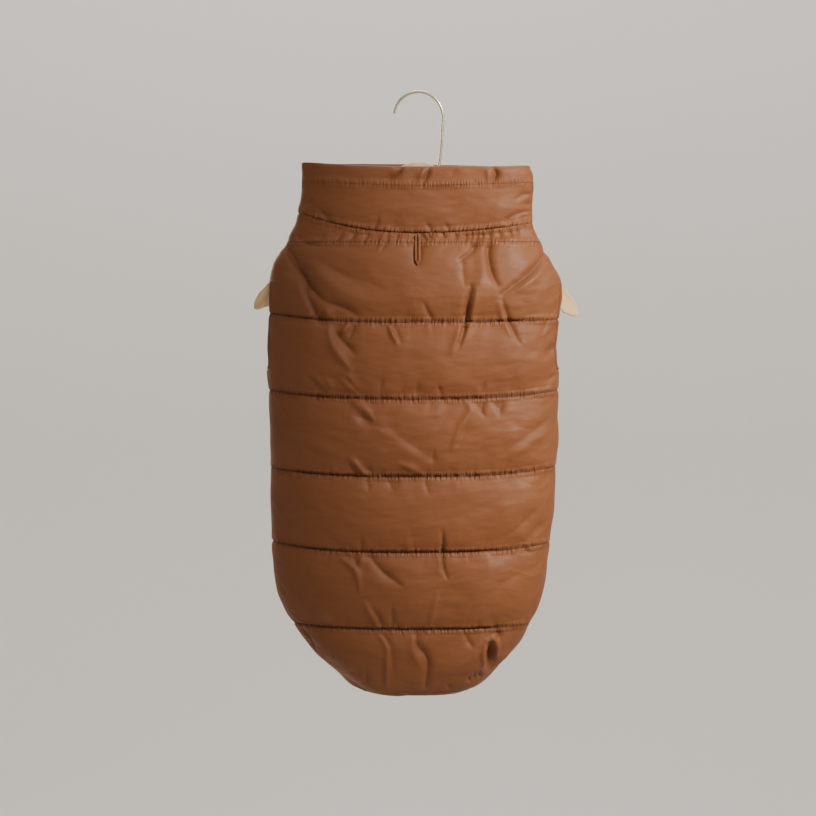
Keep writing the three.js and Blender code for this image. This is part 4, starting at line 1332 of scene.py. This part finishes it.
def make_wood_finish(drift):
    pale, grain = linear(236, 202, 156), linear(202, 158, 106)
    material, nodes, shader = new_finish("pale_wood", pale, 0.42, Coat_Weight=0.25, Coat_Roughness=0.25)
    parts = nodes.add("ShaderNodeSeparateXYZ", i0=nodes.add("ShaderNodeTexCoord").outputs["Object"])
    either_side = nodes.math("ABSOLUTE", parts.outputs[0])
    mirrored = nodes.add("ShaderNodeCombineXYZ", X=either_side, Y=parts.outputs[1], Z=parts.outputs[2]).outputs[0]
    along = nodes.stretched(mirrored, (1, 1, 1), (0, math.radians(-44), 0))
    rings = nodes.noise(nodes.stretched(along, (5, 60, 150)), 1.0, 3.0, 0.6)
    pores = nodes.noise(nodes.stretched(along, (30, 500, 900)), 1.0, 2.0, 0.5)
    wood = nodes.mix(nodes.ramp(rings, 0.38, 0.66, 0.0, 0.75), pale, grain)
    wood = nodes.mix(nodes.ramp(pores, 0.52, 0.72, 0.0, 0.35), wood, linear(160, 118, 76))
    nodes.feed(shader, "Base Color", nodes.drift(drift, mirrored, wood, 14.0, 0.05))
    nodes.feed(shader, "Roughness", nodes.ramp(rings, 0.3, 0.7, 0.36, 0.48))
    nodes.feed(shader, "Normal", nodes.bump(pores, 0.0001, 0.5))
    return material


def make_wire_finish(drift):
    pale = linear(226, 212, 188)
    material, nodes, shader = new_finish("hook_wire", pale, 0.3, Metallic=1.0)
    place = nodes.add("ShaderNodeTexCoord").outputs["Object"]
    nodes.feed(shader, "Base Color", nodes.drift(drift, place, pale, 60.0, 0.05))
    drawn = nodes.noise(place, 700, 2.0, 0.5)
    nodes.feed(shader, "Roughness", nodes.ramp(drawn, 0.3, 0.7, 0.24, 0.38))
    return material


drift = drift_group()
weave = weave_group()
brown_nylon = make_cloth_finish(drift, weave)
brown_thread = make_thread_finish("brown_thread", linear(104, 62, 38), drift)
slit_thread = make_thread_finish("slit_thread", linear(126, 80, 52), drift)
pale_wood = make_wood_finish(drift)
hook_wire = make_wire_finish(drift)

for piece in (back_panel, belly_panel, collar):
    piece.data.materials.append(brown_nylon)

tree = stitch_tree(brown_thread)
quilt_seams = [along_row(back_surface, row, False) for row in back_lines[1:-1]]
quilt_seams += [along_row(belly_surface, row, False) for row in belly_lines[1:-1]]
quilt_stitches = sew("quilt_stitches", quilt_seams, tree, brown_thread, QUILT_STITCH)
casing_seam = [along_row(collar_surface, collar_lines[1], True)]
casing_stitches = sew("casing_stitches", casing_seam, tree, brown_thread, CASING_STITCH)

hems = hem_seams(back_surface, back_lines, BELLY_HEM - NECK_SEAM)
hems += hem_seams(belly_surface, belly_lines, None)
hem_stitches = sew("hem_stitches", hems, tree, brown_thread, HEM_STITCH)

plate = make_plate()
plate.data.materials.append(pale_wood)
hook = make_hook()
hook.data.materials.append(hook_wire)
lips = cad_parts["leash_slit_lips"]
lips.data.materials.clear()
lips.data.materials.append(slit_thread)


# What stands for what
for piece, node, slot in (
    (back_panel, "back_panel", "shell_cloth"),
    (belly_panel, "belly_panel", "shell_cloth"),
    (collar, "collar", "shell_cloth"),
    (plate, "hanger_plate", "pale_wood"),
    (hook, "hanger_hook", "hook_wire"),
):
    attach(piece, "root")
    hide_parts(node)
for piece in (quilt_stitches, casing_stitches, hem_stitches):
    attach(piece, "root")


# Studio: a round pale floor whose edge curves up all round, soft lights, and the camera, in metres
FLOOR_Z = -1.5
FLOOR_REACH = 3.6
FLOOR_CURVE = 1.1
FLOOR_TOP = 2.6
FLOOR_SIDES = 96
CURVE_STEPS = 12
VIEW_WIDTH = 0.816
VIEW_DISTANCE = 2.33
VIEW_MIDDLE = (-0.0103, -0.3146)
SENSOR = 36


def make_studio():
    flat_end = FLOOR_REACH - FLOOR_CURVE
    profile = [(0.001, FLOOR_Z), (1.2, FLOOR_Z), (flat_end, FLOOR_Z)]
    for step in range(1, CURVE_STEPS + 1):
        a = math.pi / 2 * step / CURVE_STEPS
        rise = FLOOR_CURVE - FLOOR_CURVE * math.cos(a)
        profile.append((flat_end + FLOOR_CURVE * math.sin(a), FLOOR_Z + rise))
    profile.append((FLOOR_REACH, FLOOR_TOP))
    turns = 2 * np.pi * np.arange(FLOOR_SIDES) / FLOOR_SIDES
    grid = np.array([[(r * math.cos(a), r * math.sin(a), z) for a in turns] for r, z in profile])
    bowl = new_object("studio_floor", grid.reshape(-1, 3) / MM, grid_faces(len(profile), FLOOR_SIDES, True))
    shade_smooth(bowl.data)
    bowl.data.materials.append(new_finish("pale_floor", linear(226, 223, 218), 0.85)[0])


def aim_lamp(name, light, place, aim, power, colour):
    """Puts a light of this power and colour at a place and turns it to its aim."""
    light.energy = power
    light.color = colour
    lamp = place_in_scene(name, light)
    lamp.location = place
    direction = np.array(aim) - np.array(place)
    lamp.rotation_euler = Vector(direction).to_track_quat("-Z", "Y").to_euler()
    return lamp


def add_light(name, place, aim, size, power, colour):
    light = bpy.data.lights.new(name, "AREA")
    light.size = size
    aim_lamp(name, light, place, aim, power, colour)


def add_beam(name, place, aim, radius, power, colour, cone, squeeze):
    """A spot whose soft-edged cone is narrower across than it is high, like a window beside the coat."""
    light = bpy.data.lights.new(name, "SPOT")
    light.shadow_soft_size = radius
    light.spot_size = math.radians(cone)
    light.spot_blend = 0.7
    aim_lamp(name, light, place, aim, power, colour).scale = (squeeze, 1, 1)


def make_camera():
    """Level with the middle of the photograph, whose 816 pixels are 0.816 m wide at the hanger."""
    camera = bpy.data.cameras.new("camera")
    camera.sensor_width = SENSOR
    camera.lens = SENSOR * VIEW_DISTANCE / VIEW_WIDTH
    camera.clip_end = 30
    holder = place_in_scene("camera", camera)
    holder.location = (VIEW_MIDDLE[0], -VIEW_DISTANCE, VIEW_MIDDLE[1])
    holder.rotation_euler = (math.pi / 2, 0, 0)
    bpy.context.scene.camera = holder


make_studio()
coat_middle = (0, 0, -0.33)
add_beam("window", (1.4, -1.58, 1.02), (0.09, 0, -0.26), 0.08, 455, (1, 0.93, 0.84), 20, 0.38)
add_light("ceiling", (0, 0, 2.5), (0, 0, 0), 3, 30, (1, 0.96, 0.9))
add_light("backdrop", (0, 1.3, 2.4), (0, 3.4, -0.6), 1.2, 85, (1, 0.98, 0.95))
add_light("rear", (-1.4, 1.9, 0.6), coat_middle, 1.2, 20, (1, 0.97, 0.94))
world = bpy.data.worlds.new("room light")
world.use_nodes = True
world.node_tree.nodes["Background"].inputs["Color"].default_value = (1, 0.97, 0.94, 1)
world.node_tree.nodes["Background"].inputs["Strength"].default_value = 0.2
bpy.context.scene.world = world
make_camera()
